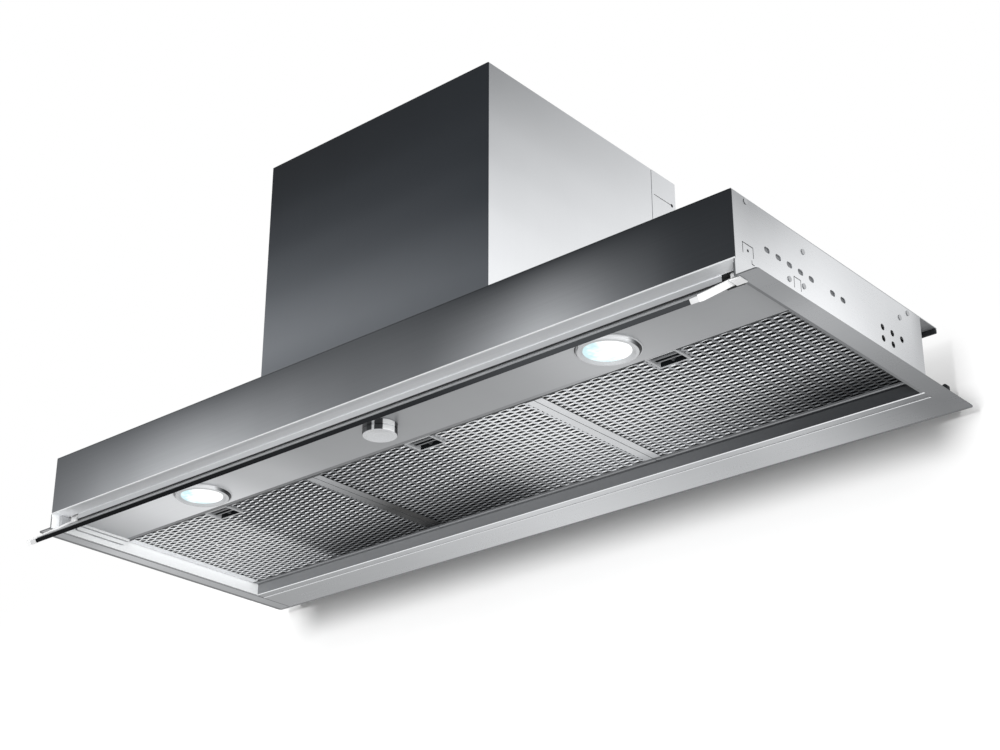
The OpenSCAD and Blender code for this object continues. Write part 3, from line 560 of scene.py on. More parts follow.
def turned(name: str, centre: Sequence[float], profile: Sequence[tuple[float, float]], sides: int = 72,
           ring: bool = False) -> Piece:
    """Turns a piece about an upright axis by extruding a disc or a hoop from ring to ring.

    Args:
        name: The piece's name.
        centre: The axis's place, X and Y in millimetres.
        profile: Radius and height of each ring, in millimetres.
        sides: Number of sides.
        ring: Whether the profile closes on itself round a hole.

    Returns:
        The new piece.
    """
    deselect_all()
    radius, height = profile[0]
    middle = Vector((centre[0] * MM, centre[1] * MM, 0))
    bpy.ops.mesh.primitive_circle_add(vertices=sides, radius=radius * MM,
                                      fill_type="NOTHING" if ring else "NGON",
                                      location=middle + Vector((0, 0, height * MM)))
    piece = adopt(name)
    extrude = bpy.ops.mesh.extrude_edges_move if ring else bpy.ops.mesh.extrude_region_move
    with editing(piece, "EDGE" if ring else "FACE"):
        for next_radius, next_height in list(profile[1:]) + ([profile[0]] if ring else []):
            extrude(TRANSFORM_OT_translate={"value": (0, 0, (next_height - height) * MM)})
            scale = next_radius / radius
            bpy.ops.transform.resize(value=(scale, scale, 1),
                                     center_override=middle + Vector((0, 0, next_height * MM)))
            radius, height = next_radius, next_height
        bpy.ops.mesh.select_all(action="SELECT")
        bpy.ops.mesh.remove_doubles(threshold=WELD)
        turn_out()
    bpy.ops.object.shade_smooth_by_angle(angle=math.radians(38))
    return piece


def box_piece(name: str, low: Sequence[float], high: Sequence[float], rounding: float) -> Piece:
    """Makes a rounded bar between two corners, in millimetres.

    Args:
        name: The piece's name.
        low: Its lowest corner.
        high: Its highest corner.
        rounding: Width of the rounding along its edges.

    Returns:
        The new piece.
    """
    deselect_all()
    bpy.ops.mesh.primitive_cube_add(size=1, location=[(a + b) / 2 * MM for a, b in zip(low, high)],
                                    scale=[(b - a) * MM for a, b in zip(low, high)])
    piece = adopt(name)
    with editing(piece):
        bpy.ops.mesh.bevel(offset=rounding * MM, segments=2, affect="EDGES")
    bpy.ops.object.shade_smooth_by_angle(angle=math.radians(40))
    return piece


# Painted light and shade of the steel: reflections, highlights, pools of light and shade as grey tones, read
# along each sheet in millimetres

# Fascia: painted reflections, lighter bands along it and darker towards its top and its right end
FASCIA_PAINTED_REFLECTIONS = Tones(
    Axis.X,
    ((-430, 116), (-360, 146), (-300, 168), (-240, 186), (-180, 182), (-120, 160), (-60, 138), (0, 119),
     (60, 112), (120, 116), (180, 150), (240, 174), (300, 131), (360, 80), (430, 53)),
    ((-430, 90), (-360, 94), (-300, 95), (-240, 99), (-180, 92), (-60, 86), (60, 79), (180, 60), (240, 59),
     (300, 54), (360, 47), (430, 43)),
    Axis.Z, 16, 76, 2.4)
# Ledge and rail: painted light, falling off towards the right
LEDGE_PAINTED_LIGHT = Tones(
    Axis.X,
    ((-430, 240), (-300, 246), (-150, 244), (0, 242), (200, 238), (330, 226), (430, 208)))
RAIL_PAINTED_LIGHT = Tones(Axis.X, ((-430, 200), (-300, 206), (0, 198), (200, 184), (330, 176), (430, 164)))
# Motor box: painted light and shade, darker upwards, and much darker on the front than on the sides
BOX_FRONT_PAINTED_SHADE = Tones(
    Axis.Z,
    ((78, 120), (92, 116), (130, 124), (180, 98), (230, 70), (280, 46), (338, 26)),
    ((78, 98), (92, 94), (130, 86), (180, 63), (230, 51), (280, 44), (338, 38)),
    Axis.X, -148, 148, 3.6)
BOX_SIDE_PAINTED_LIGHT = Tones(
    Axis.Z,
    ((78, 250), (130, 243), (180, 226), (230, 204), (280, 179), (338, 148)),
    ((78, 252), (230, 243), (280, 233), (338, 217)),
    Axis.Y, 30, 330)
# Side panels: painted light, brightest in the middle of their depth
SIDE_PANEL_PAINTED_LIGHT = Tones(
    Axis.Y,
    ((0, 221), (35, 230), (70, 244), (110, 249), (150, 247), (200, 231), (240, 212), (280, 190), (299, 186)),
    ((0, 168), (35, 172), (70, 192), (110, 214), (150, 223), (200, 219), (240, 216), (280, 207), (299, 172)),
    Axis.Z, 14, 74)
# Flange: painted reflections, lightest near the middle and darker towards the ends
FLANGE_REAR_PAINTED_LIGHT = Tones(
    Axis.X,
    ((-430, 140), (-300, 153), (-200, 168), (-100, 186), (0, 200), (100, 191), (200, 176), (300, 180),
     (400, 126), (450, 108)))
FLANGE_END_PAINTED_LIGHT = Tones(
    Axis.Y,
    ((0, 148), (50, 155), (100, 186), (200, 165), (300, 149), (347, 137)),
    ((0, 147), (50, 149), (100, 166), (200, 141), (300, 113), (347, 110)),
    Axis.X, -430, 430)
# Recess walls: painted shade, darker towards the right
RECESS_PAINTED_SHADE = Tones(
    Axis.X,
    ((-430, 136), (-200, 133), (0, 122), (100, 110), (200, 92), (300, 67), (430, 50)))
# Lamp panel: painted pools of light round the lamps
LAMP_PANEL_PAINTED_LIGHT = Tones(
    Axis.X,
    ((-420, 165), (-350, 210), (-300, 227), (-250, 220), (-200, 190), (-150, 175), (-100, 152), (0, 150),
     (130, 152), (180, 164), (240, 184), (290, 168), (350, 152), (420, 144)))
# Painted shade along the lamp panel's rear edge
PANEL_REAR_PAINTED_SHADE = Tones(
    Axis.X,
    ((-430, 118), (-290, 100), (-142, 104), (0, 110), (142, 130), (200, 160), (240, 184), (290, 168),
     (350, 152), (420, 144)))
# Filter frames: painted reflections, the left divider dark towards the rear
FRAME_PAINTED_REFLECTIONS = Tones(
    Axis.X,
    ((-427, 240), (-290, 185), (-142, 166), (0, 205), (142, 222), (285, 214), (427, 205)),
    ((-427, 235), (-290, 110), (-142, 2), (-60, 70), (60, 190), (142, 212), (285, 200), (427, 190)),
    Axis.Y, 110, 215)
# Painted shade along the frames' rear edge
FRAME_REAR_PAINTED_SHADE = Tones(Axis.X, ((-427, 112), (-200, 102), (0, 116), (140, 126), (300, 110), (427, 104)))
# Expanded mesh: painted highlights on the bonds, painted light on the strands, dimmer towards the rear, and
# painted shade on the strands' walls
BOND_PAINTED_HIGHLIGHTS = ((-427, 255), (-300, 255), (-285, 250), (-150, 236), (-140, 212), (-10, 252), (70, 255),
              (220, 255), (330, 242), (427, 214))
BOND_REAR_PAINTED_SHADE = ((-427, 250), (-300, 212), (-285, 125), (-150, 100), (-140, 82), (-10, 135), (10, 190),
                   (70, 243), (220, 222), (330, 104), (427, 72))
STRAND_PAINTED_LIGHT = ((-427, 220), (-300, 190), (-285, 122), (-140, 102), (-10, 135), (70, 210), (150, 214),
                (220, 190), (330, 125), (427, 108))
STRAND_REAR_PAINTED_SHADE = ((-427, 192), (-300, 128), (-285, 58), (-140, 38), (-10, 70), (70, 164), (150, 170),
                     (220, 134), (330, 46), (427, 30))
SHADE_TONES = Tones(
    Axis.X,
    ((-427, 75), (-300, 45), (-285, 12), (-10, 14), (70, 95), (150, 100), (220, 70), (300, 18), (427, 15)))
# Where the mesh's painted light changes to its painted shade from front to rear, and their lean to blue
MESH_SHADE_FADE = (Axis.Y, 190, 264, 2.2)


@dataclass
class Finishes:
    """Every finish of the hood, built once."""

    materials: dict[str, Material] = field(default_factory=dict)

    def build(self) -> None:
        """Builds the materials by name."""
        # Flange patches: the recess's painted shade on its upright walls, two painted highlight lines along
        # the rear folds, painted light at the ends, and painted dark reflection lines along the left end and
        # the rear edge
        flange_patches = (
            Patch(RECESS_PAINTED_SHADE, Axis.Z, -0.5, 20), Patch(flat(236), Axis.Y, 290.2, 292.6),
            Patch(flat(226), Axis.Y, 301.5, 303.4),
            Patch(FLANGE_END_PAINTED_LIGHT, Axis.X, 431, 460, mirrored=True),
            Patch(flat(92), Axis.X, -460, -444.8), Patch(flat(84), Axis.X, -431.9, -430.2),
            Patch(flat(96), Axis.Y, 343.6, 350))
        # Frame patches: painted shade along the rear, a painted highlight line, the recess's painted shade,
        # and a painted shadow line at the front
        frame_patches = (
            Patch(FRAME_REAR_PAINTED_SHADE, Axis.Y, 281, 287.4), Patch(flat(184), Axis.Y, 284.6, 287.4),
            Patch(RECESS_PAINTED_SHADE, Axis.Y, 287.4, 300), Patch(flat(58), Axis.Y, 90, 101))
        sheets = (
            # Fascia: painted reflections, with a painted highlight along its bottom fold
            BrushedSheet("fascia_steel", FASCIA_PAINTED_REFLECTIONS, (Patch(flat(228), Axis.Z, 10, 15.7),), roughness=0.34),
            # Ledge: painted light. Rail: painted light, a painted highlight along its top and painted shadow
            # in the gap along its lower part
            matt("ledge_steel", LEDGE_PAINTED_LIGHT),
            matt("rail_steel", RAIL_PAINTED_LIGHT, Patch(flat(225), Axis.Z, 13.2, 16),
                 Patch(flat(4), Axis.Z, 0, 8.0)),
            # Lamp panel: painted pools of light near the lamps and painted shade along its rear edge
            BrushedSheet("panel_steel", LAMP_PANEL_PAINTED_LIGHT, (Patch(PANEL_REAR_PAINTED_SHADE, Axis.Y, 92.4, 100),),
                         grain_depth=0.03, roughness=0.36, metallic=0.4),
            matt("filler_steel", flat(150)),
            # Flange: painted reflections, highlights and dark lines
            BrushedSheet("flange_steel", FLANGE_REAR_PAINTED_LIGHT, flange_patches, grain_depth=0.04),
            # Painted shade of the recess
            matt("recess_steel_painted_shade", RECESS_PAINTED_SHADE),
            # Painted light on the faces that look across the recess
            matt("painted_light_steel", flat(254), grain_depth=0.01),
            # Painted shade on front edges and sideways faces, and dark steel of the springs
            matt("dark_steel_and_painted_shade", flat(70), grain_depth=0.01),
            # Side panels: painted light
            BrushedSheet("side_steel", SIDE_PANEL_PAINTED_LIGHT, grain=Axis.Y, grain_depth=0.02),
            # Motor box: painted light and shade
            BrushedSheet("box_steel_painted_light", BOX_SIDE_PAINTED_LIGHT, (Patch(BOX_FRONT_PAINTED_SHADE, Axis.Y, 0, 31.2),),
                         grain=Axis.Z, grain_depth=0.015, roughness=0.4),
            # Painted shade under the top plate
            matt("overhang_steel_painted_shade", flat(122)),
            BrushedSheet("zinc_sheet", flat(180), grain_depth=0.02, roughness=0.42),
            # Filter frames: painted reflections and lines
            BrushedSheet("frame_metal", FRAME_PAINTED_REFLECTIONS, frame_patches, grain_depth=0.03, roughness=0.35,
                         metallic=0.3, gloss=0.1),
            # Expanded mesh: painted highlights on the bonds, painted light on the strands, painted shade on
            # their walls
            BrushedSheet("bond_metal_painted_highlight", Tones(Axis.X, BOND_PAINTED_HIGHLIGHTS, BOND_REAR_PAINTED_SHADE, *MESH_SHADE_FADE),
                         grain_depth=0.0, roughness=0.3, metallic=0.2),
            BrushedSheet("strand_metal_painted_light", Tones(Axis.X, STRAND_PAINTED_LIGHT, STRAND_REAR_PAINTED_SHADE, *MESH_SHADE_FADE),
                         grain_depth=0.0, roughness=0.3, metallic=0.2),
            BrushedSheet("strand_shade", SHADE_TONES, grain_depth=0.0, roughness=0.4, metallic=0.2),
            BrushedSheet("bright_metal", flat(178), grain_depth=0.01, roughness=0.18),
        )
        plastics = (
            MouldedPlastic("black_rubber", grey(30), 0.7, 0.5, gloss=0.2),
            MouldedPlastic("grey_plastic", grey(196), 0.38),
            # Pale strip that stands for the painted reflection along the visor pane's top
            MouldedPlastic("reflection_strip_plastic", grey(138), 0.38),
            MouldedPlastic("cap_plastic", grey(204, 0.6), 0.4),
            MouldedPlastic("latch_plastic", grey(172), 0.35),
            MouldedPlastic("slider_plastic", grey(110), 0.4),
            MouldedPlastic("white_plastic", grey(236, 0.4), 0.34),
            MouldedPlastic("hinge_plate", grey(222, 0.6), 0.4),
            MouldedPlastic("black_plastic", grey(24), 0.42, 0.3, gloss=0.1),
            MouldedPlastic("motor_paint", grey(84), 0.4, 0.3),
            MouldedPlastic("board_white", grey(235, 0.0), 0.3),
            SmokedGlass("smoked_glass"),
        )
        for finish in sheets + plastics:
            self.materials[finish.name] = finish.build()
        log.info("finishes: %d", len(self.materials))

    def __getitem__(self, name: str) -> Material:
        """Gives the material called name."""
        return self.materials[name]


@dataclass
class SheetBody:
    """The steel body, its flange, rails and rubber parts."""

    finishes: Finishes
    fold: float = 0.32
    seal: float = 0.8
    painted_light_x: float = 428.0

    def build(self) -> None:
        """Rounds the folds of every sheet, dresses it and paints light on the recess's sides."""
        sheets = {"fascia_panel": "fascia_steel", "front_rail": "rail_steel", "trim_flange": "flange_steel",
                  "lamp_panel": "panel_steel", "side_filler_left": "filler_steel",
                  "side_filler_right": "filler_steel", "side_panel_left": "side_steel",
                  "side_panel_right": "side_steel", "top_plate": "zinc_sheet", "back_panel": "zinc_sheet"}
        made = {node: softened(node, self.fold, self.finishes[finish]) for node, finish in sheets.items()}
        self.sides(made)
        for node in ("rear_seal_strip", "rear_spacers"):
            softened(node, self.seal, self.finishes["black_rubber"], 3)
        self.backing()
        softened("panel_rivets", 0.35, self.finishes["bright_metal"], 3)
        hinges = softened("visor_hinges", 0.3, self.finishes["black_plastic"])
        paint(hinges, self.finishes["latch_plastic"], lambda face: face.center.x < 0)
        paint(hinges, self.finishes["hinge_plate"], lambda face: face.center.z < -1.0 * MM)

    def sides(self, made: dict[str, Piece]) -> None:
        """Paints the folds, the ledge and the upright faces that look across the recess: painted shade on the
        front edges, the recess's rear wall and under the top plate, painted light on the ledge and the faces
        across the recess.
        """
        bright, edge = self.finishes["painted_light_steel"], self.finishes["dark_steel_and_painted_shade"]
        flange = made["trim_flange"]
        # Painted shade of the recess on the flange's rear wall
        paint(flange, self.finishes["recess_steel_painted_shade"],
              lambda face: face.normal.y < -FACING and face.center.y > 280 * MM)
        # Painted light on the flange's upright faces across the recess
        paint(flange, bright,
              lambda face: abs(face.normal.x) > FACING and abs(face.center.x) < (self.painted_light_x + 0.4) * MM)
        # Painted shade on the flange's front edge
        paint(flange, edge, lambda face: face.normal.y < -FACING and face.center.y < 2 * MM)
        # Painted light on the fascia's ledge
        paint(made["fascia_panel"], self.finishes["ledge_steel"],
              lambda face: face.normal.z < -FACING and face.center.z < 20 * MM)
        # Painted shade under the top plate
        paint(made["top_plate"], self.finishes["overhang_steel_painted_shade"], lambda face: face.normal.z < -FACING)
        # The fascia's painted reflections on the top plate's front faces
        paint(made["top_plate"], self.finishes["fascia_steel"],
              lambda face: face.normal.y < -0.3 and face.center.y < 40 * MM)
        for side in ("left", "right"):
            # Painted light on the faces that look across the recess
            paint(made[f"side_filler_{side}"], bright, lambda face: abs(face.normal.x) > FACING)
            panel = made[f"side_panel_{side}"]
            paint(panel, bright,
                  lambda face: face.normal.x * face.center.x < 0 and abs(face.normal.x) > FACING)
            # Painted shade on the panels' front edges
            paint(panel, edge, lambda face: face.normal.y < -FACING and face.center.y < 3 * MM)

    def backing(self) -> None:
        """Lays a plain strip behind each row of slots."""
        for side, sign in (("left", -1), ("right", 1)):
            ends = sorted((sign * 428.2, sign * 428.6))
            strip = box_piece(f"slot_backing_{side}", (ends[0], 42, 36), (ends[1], 169, 46), 0.1)
            seat(strip, f"side_panel_{side}", self.finishes["slider_plastic"], replace=False)


@dataclass
class MotorBox:
    """The box on top, the duct collar with its flaps, and the fan inside."""

    finishes: Finishes
    fold: float = 0.5

    def build(self) -> None:
        """Dresses the box, the collar and the fan."""
        # Painted light and shade on the box: lighter low down, darker upwards and on the front
        for node in ("chimney_cover", "chimney_rear_cover"):
            softened(node, self.fold, self.finishes["box_steel_painted_light"])
        top = softened("chimney_top_plate", 0.3, self.finishes["zinc_sheet"])
        # Painted shade on the top plate's side faces, in the box's tones
        paint(top, self.finishes["box_steel_painted_light"], lambda face: abs(face.normal.z) < 0.8)
        softened("outlet_collar", 0.4, self.finishes["grey_plastic"])
        softened("cable_gland", 0.5, self.finishes["black_plastic"])
        for node in ("damper_flap_left", "damper_flap_right"):
            softened(node, 0.3, self.finishes["white_plastic"])
        plain = {"bright_metal": ("damper_pins", "motor_shaft", "knob_spindle"),
                 "white_plastic": ("scroll_housing", "scroll_side_plate", "capacitor"),
                 "grey_plastic": ("impeller",), "motor_paint": ("motor",), "board_white": ("lamp_leds",),
                 "zinc_sheet": ("motor_bracket", "lamp_housing_left", "lamp_housing_right"),
                 "black_plastic": ("electronics_box", "rotary_switch")}
        for finish, nodes in plain.items():
            for node in nodes:
                solid = frame["nodes"][node]
                solid.data.materials.clear()
                solid.data.materials.append(self.finishes[finish])
                log.info("%s: dressed as packed", node)


@dataclass
class Lamp:
    """One round lamp: a rounded trim ring and a lit lens."""

    finishes: Finishes
    side: str
    x: float
    y: float = 59.0
    ring_z0: float = 6.8
    ring_z1: float = 10.75
    outer: float = 30.0
    lens: float = 22.2
    shift: tuple[float, float] = (-1.2, -0.8)

    def build(self) -> None:
        """Turns the ring and the lens and lights the lens."""
        z0, z1 = self.ring_z0, self.ring_z1
        bead = [(20.8, z0 + 2.5), (23.0, z0 + 1.3), (23.5, z0 + 0.4), (24.1, z0 + 0.1), (24.8, z0),
                (25.9, z0), (26.5, z0 + 0.25), (27.3, z0 + 0.9), (28.2, z0 + 1.8), (28.8, z0 + 2.7),
                (29.1, z0 + 3.1), (29.85, z0 + 3.2), (self.outer, z0 + 3.35), (self.outer, z1), (24.2, z1),
                (24.2, z0 + 2.9), (20.8, z0 + 2.9)]
        ring = turned(f"lamp_ring_{self.side}_turned", (self.x, self.y), bead, ring=True)
        # Painted reflections across the trim ring
        streaks = ((-30, 60), (-28.6, 50), (-27.8, 60), (-27.2, 190), (-26.6, 70), (-25.6, 200), (-18, 235),
                   (15, 245), (19, 150), (22, 80), (25, 25), (28, 14), (30, 60))
        trim = TurnedMetal(f"lamp_trim_{self.side}", streaks, (self.x, self.y), face=205.0,
                           face_z=(z0 + 0.3, z0 + 0.7))
        seat(ring, f"lamp_ring_{self.side}", trim.build())
        paint(ring, self.finishes["grey_plastic"],
              lambda face: face.center.z > (z0 + 3.0) * MM and self.away(face) > 28.9)
        paint(ring, self.finishes["grey_plastic"],
              lambda face: face.center.z > (z0 + 0.2) * MM and self.away(face) < 24)
        centre = (self.x + self.shift[0], self.y + self.shift[1])
        dome = [(self.lens, z0 + 2.75), (self.lens, z0 + 2.35), (self.lens - 1.4, z0 + 2.0),
                (self.lens - 5, z0 + 1.8), (self.lens - 12, z0 + 1.65), (2.0, z0 + 1.6)]
        lens = turned(f"lamp_lens_{self.side}_domed", centre, dome)
        seat(lens, f"lamp_lens_{self.side}", LitLens(f"lit_lens_{self.side}", centre).build())

    def away(self, face: bpy.types.MeshPolygon) -> float:
        """Gives the distance of a face from the lamp's axis in millimetres."""
        return math.hypot(face.center.x / MM - self.x, face.center.y / MM - self.y)


@dataclass
class Knob:
    """The control knob: a turned cap over a fixed base ring, both painted with reflections of bright and dark
    streaks.
    """

    finishes: Finishes
    centre: tuple[float, float] = (0.0, 49.0)
    radius: float = 16.5
    bottom: float = -0.7
    top: float = 5.3

    def build(self) -> None:
        """Turns the cap and the base ring."""
        r, z0, z1 = self.radius, self.bottom, self.top
        # Painted reflections across the cap and the base ring
        streaks = ((-16.5, 60), (-15.4, 60), (-15, 112), (-12, 118), (-11, 76), (-7.0, 74), (-6.6, 240),
                   (-4.6, 240), (-4.2, 72), (0, 64), (3.2, 76), (3.8, 254), (13.8, 254), (14.4, 50),
                   (16.5, 24))
        finish = TurnedMetal("knob_metal", streaks, self.centre, face=206.0,
                             face_z=(z0 + 0.3, z0 + 0.6)).build()
        cap = [(r - 3.0, z0 + 0.25), (r - 2.5, z0), (r - 1.0, z0), (r - 0.35, z0 + 0.3), (r, z0 + 1.0),
               (r, z1 - 0.75), (r - 0.35, z1 - 0.4), (r - 1.4, z1 - 0.4), (r - 1.4, z1), (3.4, z1)]
        seat(turned("knob_cap_turned", self.centre, cap), "knob_cap", finish)
        base = [(6.0, z1 + 0.2), (r - 1.5, z1 + 0.2), (r - 0.1, z1 + 0.7), (r - 0.1, z1 + 5.0),
                (r - 0.6, z1 + 5.4), (6.0, z1 + 5.4)]
        seat(turned("knob_base_turned", self.centre, base, ring=True), "knob_base_ring", finish)


@dataclass
class FilterCassette:
    """One filter: a folded frame, two layers of expanded mesh and a sprung latch."""

    finishes: Finishes
    side: str
    column: float = 9.9
    row: float = 6.58
    tip: float = 7.0
    web: tuple[float, float] = (0.74, 0.7)
    lean: float = 0.55
    thickness: float = 0.9
    lower: float = 12.2
    upper: float = 15.4
    behind: tuple[float, float] = (0.5, 0.45)
    overrun: tuple[float, float] = (2.2, 1.5)
    bond: tuple[float, float] = (1.05, 0.25)
    lap: float = 0.6
    rib_width: float = 0.7
    rib_count: int = 12
    wire: float = 0.22
    turns: int = 6

    def build(self) -> None:
        """Builds the frame, the mesh and the latch."""
        rim = softened(f"filter_frame_{self.side}", 0.3, self.finishes["frame_metal"])
        # Painted shade on the frame's sideways faces, except at the far left
        paint(rim, self.finishes["dark_steel_and_painted_shade"],
              lambda face: abs(face.normal.x) > FACING and face.center.x > -400 * MM)
        low, high = (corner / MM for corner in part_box(f"filter_mesh_{self.side}"))
        front = self.mesh_layer("front", low, high, self.lower, (0.0, 0.0))
        # Painted light on the strands
        seat(front, f"filter_mesh_{self.side}", self.finishes["strand_metal_painted_light"])
        start = self.lattice_start(low, (0.0, 0.0))
        # Painted highlights on the bonds
        paint(front, self.finishes["bond_metal_painted_highlight"], lambda face: self.on_bond(face.center / MM - start))
        # Painted shade on the strands' upright walls
        paint(front, self.finishes["strand_shade"], lambda face: abs(face.normal.z) < 0.35)
        back = self.mesh_layer("back", low, high, self.upper, self.behind)
        # The back layer is all in the strands' painted shade
        seat(back, f"filter_mesh_{self.side}", self.finishes["strand_shade"], replace=False)
        self.latch()

    def lattice_start(self, low: Vector, shift: tuple[float, float]) -> Vector:
        """Gives the place of the first opening of a layer whose room starts at low."""
        return Vector((low[0] + (shift[0] - self.overrun[0]) * self.column,
                       low[1] + (shift[1] - self.overrun[1]) * self.row, 0))

    def on_bond(self, place: Vector) -> bool:
        """Tells whether a place, measured from the first opening, lies on the bond between two openings."""
        column = round(place.x / self.column)
        across = place.x - column * self.column
        rows = place.y / self.row - (0.5 if column % 2 else 0.0)
        along = (rows - math.floor(rows) - 0.5) * self.row
        return abs(across) < (self.column - self.tip) * self.bond[0] and abs(along) < self.row * self.bond[1]

    def cell(self, name: str) -> Piece:
        """Makes one six-sided opening with its sloping strands, about the origin."""
        deselect_all()
        bpy.ops.mesh.primitive_circle_add(vertices=6, radius=self.tip * MM, fill_type="NOTHING")
        cell = adopt(name)
        mesh = cell.data
        turn = math.atan2(mesh.vertices[0].co.y, mesh.vertices[0].co.x)
        with editing(cell):
            bpy.ops.transform.rotate(value=turn, orient_axis="Z", center_override=(0, 0, 0))
        side = max(round(abs(vertex.co.y), 6) for vertex in mesh.vertices)
        corner = min(abs(vertex.co.x) for vertex in mesh.vertices)
        shape = ((self.column - self.tip) * MM / corner, self.row / 2 * MM / side, 1)
        for vertex in mesh.vertices:
            vertex.select = abs(vertex.co.y) > side / 2
        for edge in mesh.edges:
            edge.select = all(mesh.vertices[i].select for i in edge.vertices)
        bpy.ops.object.mode_set(mode="EDIT")
        bpy.ops.mesh.select_mode(type="VERT")
        bpy.ops.transform.resize(value=shape, center_override=(0, 0, 0))
        bpy.ops.object.mode_set(mode="OBJECT")
        middle = [(1 + k) / 2 for k in self.web]
        waist = [w / m for w, m in zip(self.web, middle)]
        with editing(cell, "EDGE"):
            for rise, width in ((self.lean * 0.25, middle), (self.lean, waist),
                                (self.thickness, (0.97, 0.97))):
                bpy.ops.mesh.extrude_edges_move(TRANSFORM_OT_translate={"value": (0, 0, rise * MM)})
                bpy.ops.transform.resize(value=(width[0], width[1], 1), center_override=(0, 0, 0))
        return cell

    def mesh_layer(self, layer: str, low: Vector, high: Vector, height: float,
                   shift: tuple[float, float]) -> Piece:
        """Repeats the opening over the cassette and trims it to the frame and the latch.

        Args:
            layer: A word for the layer's name.
            low: Lowest corner of the mesh's room, in millimetres.
            high: Highest corner of that room.
            height: Height of the layer's lower side.
            shift: How far the pattern is moved, in columns and rows.

        Returns:
            The mesh layer.
        """
        piece = self.cell(f"filter_mesh_{self.side}_{layer}")
        with editing(piece):
            bpy.ops.mesh.duplicate_move(
                TRANSFORM_OT_translate={"value": (self.column * MM, self.row / 2 * MM, 0)})
        for axis, step in enumerate(((2 * self.column, 0, 0), (0, self.row, 0))):
            repeat(piece, step, int((high[axis] - low[axis]) / step[axis]) + 3, LATTICE_WELD)
        with editing(piece):
            bpy.ops.mesh.remove_doubles(threshold=LATTICE_WELD)
            bpy.ops.transform.translate(value=(self.lattice_start(low, shift) + Vector((0, 0, height))) * MM)
            for axis in (0, 1):
                for bound, sign in ((low, -1), (high, 1)):
                    point, outwards = Vector(), Vector()
                    point[axis] = (bound[axis] - sign * self.lap) * MM
                    outwards[axis] = sign
                    bpy.ops.mesh.select_all(action="SELECT")
                    bpy.ops.mesh.bisect(plane_co=point, plane_no=outwards, clear_outer=True)
        room_low, room_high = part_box(f"latch_housing_{self.side}")
        edge = 0.4 * MM
        pick(piece, lambda face: room_low.x - edge < face.center.x < room_high.x + edge
             and face.center.y < room_high.y + edge)
        bpy.ops.mesh.delete(type="FACE")
        turn_out()
        bpy.ops.object.mode_set(mode="OBJECT")
        return piece

    def latch(self) -> None:
        """Rounds the latch's housing and slider, paints shade on their deep faces and lays ribs in the
        slider's grooves.
        """
        housing = softened(f"latch_housing_{self.side}", 0.5, self.finishes["latch_plastic"], 3)
        deep = housing.bound_box[0][2] + 1.2 * MM
        # Painted shade: the housing's deep faces that look down or forward are black
        paint(housing, self.finishes["black_plastic"], lambda face: face.center.z > deep
              and (face.normal.z < -FACING or face.normal.y < -FACING))
        slider = softened(f"latch_slider_{self.side}", 0.3, self.finishes["slider_plastic"])
        floor = slider.bound_box[0][2] + 0.9 * MM
        rear = (slider.bound_box[0][1] + slider.bound_box[2][1]) / 2 + 2.5 * MM
        # Painted shade: the slider's faces above its floor and behind its middle are black
        paint(slider, self.finishes["black_plastic"],
              lambda face: face.center.z > floor and face.center.y > rear)
        low, high = (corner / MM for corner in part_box(f"latch_slider_{self.side}"))
        centre = (low.x + high.x) / 2
        half = (high.x - low.x) / 2 - 2.4
        bar = box_piece(f"latch_ribs_{self.side}", (centre - half, low.y + 4.0, low.z + 1.35),
                        (centre - half + self.rib_width, high.y - 1.4, low.z + 2.1), 0.2)
        repeat(bar, ((2 * half - self.rib_width) / (self.rib_count - 1), 0, 0), self.rib_count)
        seat(bar, f"latch_slider_{self.side}", self.finishes["black_plastic"], replace=False)
        self.spring()

    def spring(self) -> None:
        """Winds the latch's spring in place of its plain tube."""
        node = f"latch_spring_{self.side}"
        low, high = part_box(node)
        x, z = (low.x + high.x) / 2, (low.z + high.z) / 2
        gap = 0.25 * MM
        deselect_all()
        bpy.ops.mesh.primitive_circle_add(
            vertices=8, radius=self.wire * MM, fill_type="NGON",
            location=(x + ((high.x - low.x) / 2 - gap), low.y + gap, z))
        wire = adopt(f"{node}_wound")
        anchor = bpy.data.objects.new("winding_axis", None)
        anchor.location = (x, low.y, z)
        bpy.context.scene.collection.objects.link(anchor)
        steps = self.turns * 14
        modify(wire, "SCREW", axis="Y", object=anchor, angle=self.turns * math.tau,
               screw_offset=high.y - low.y - 2 * gap, steps=steps, render_steps=steps,
               use_merge_vertices=False)
        bpy.data.objects.remove(anchor)
        with editing(wire):
            turn_out()
        bpy.ops.object.shade_smooth()
        # Dark steel, as dark as the painted shade round it
        seat(wire, node, self.finishes["dark_steel_and_painted_shade"])
        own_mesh(wire)


@dataclass
class Visor:
    """The tilting pane with a pale strip that stands for the painted reflection along its top, its arms and
    end caps.
    """

    finishes: Finishes
    pivot: tuple[float, float] = (22.7, 11.5)
    angle: float = 35.0
    half: float = 406.6
    strip_y: tuple[float, float] = (-43.0, -24.5)
    pane_top: float = 11.3

    def build(self) -> None:
        """Rounds and dresses the pane, the arms and the caps, and lays the pale strip of painted reflection
        on the pane.
        """
        softened("visor_pane", 0.6, self.finishes["smoked_glass"], 3)
        for side in ("left", "right"):
            softened(f"visor_arm_{side}", 0.6, self.finishes["white_plastic"], 3)
        softened("visor_end_caps", 0.5, self.finishes["cap_plastic"], 3)
        # A pale strip on the pane's top: painted reflection along its upper face
        strip = box_piece("visor_reflection_strip", (-self.half, self.strip_y[0], self.pane_top),
                          (self.half, self.strip_y[1], self.pane_top + 0.6), 0.2)
        with editing(strip):
            bpy.ops.transform.rotate(value=-math.radians(self.angle), orient_axis="X",
                                     center_override=(0, self.pivot[0] * MM, self.pivot[1] * MM))
        seat(strip, "visor_pane", self.finishes["reflection_strip_plastic"], replace=False)


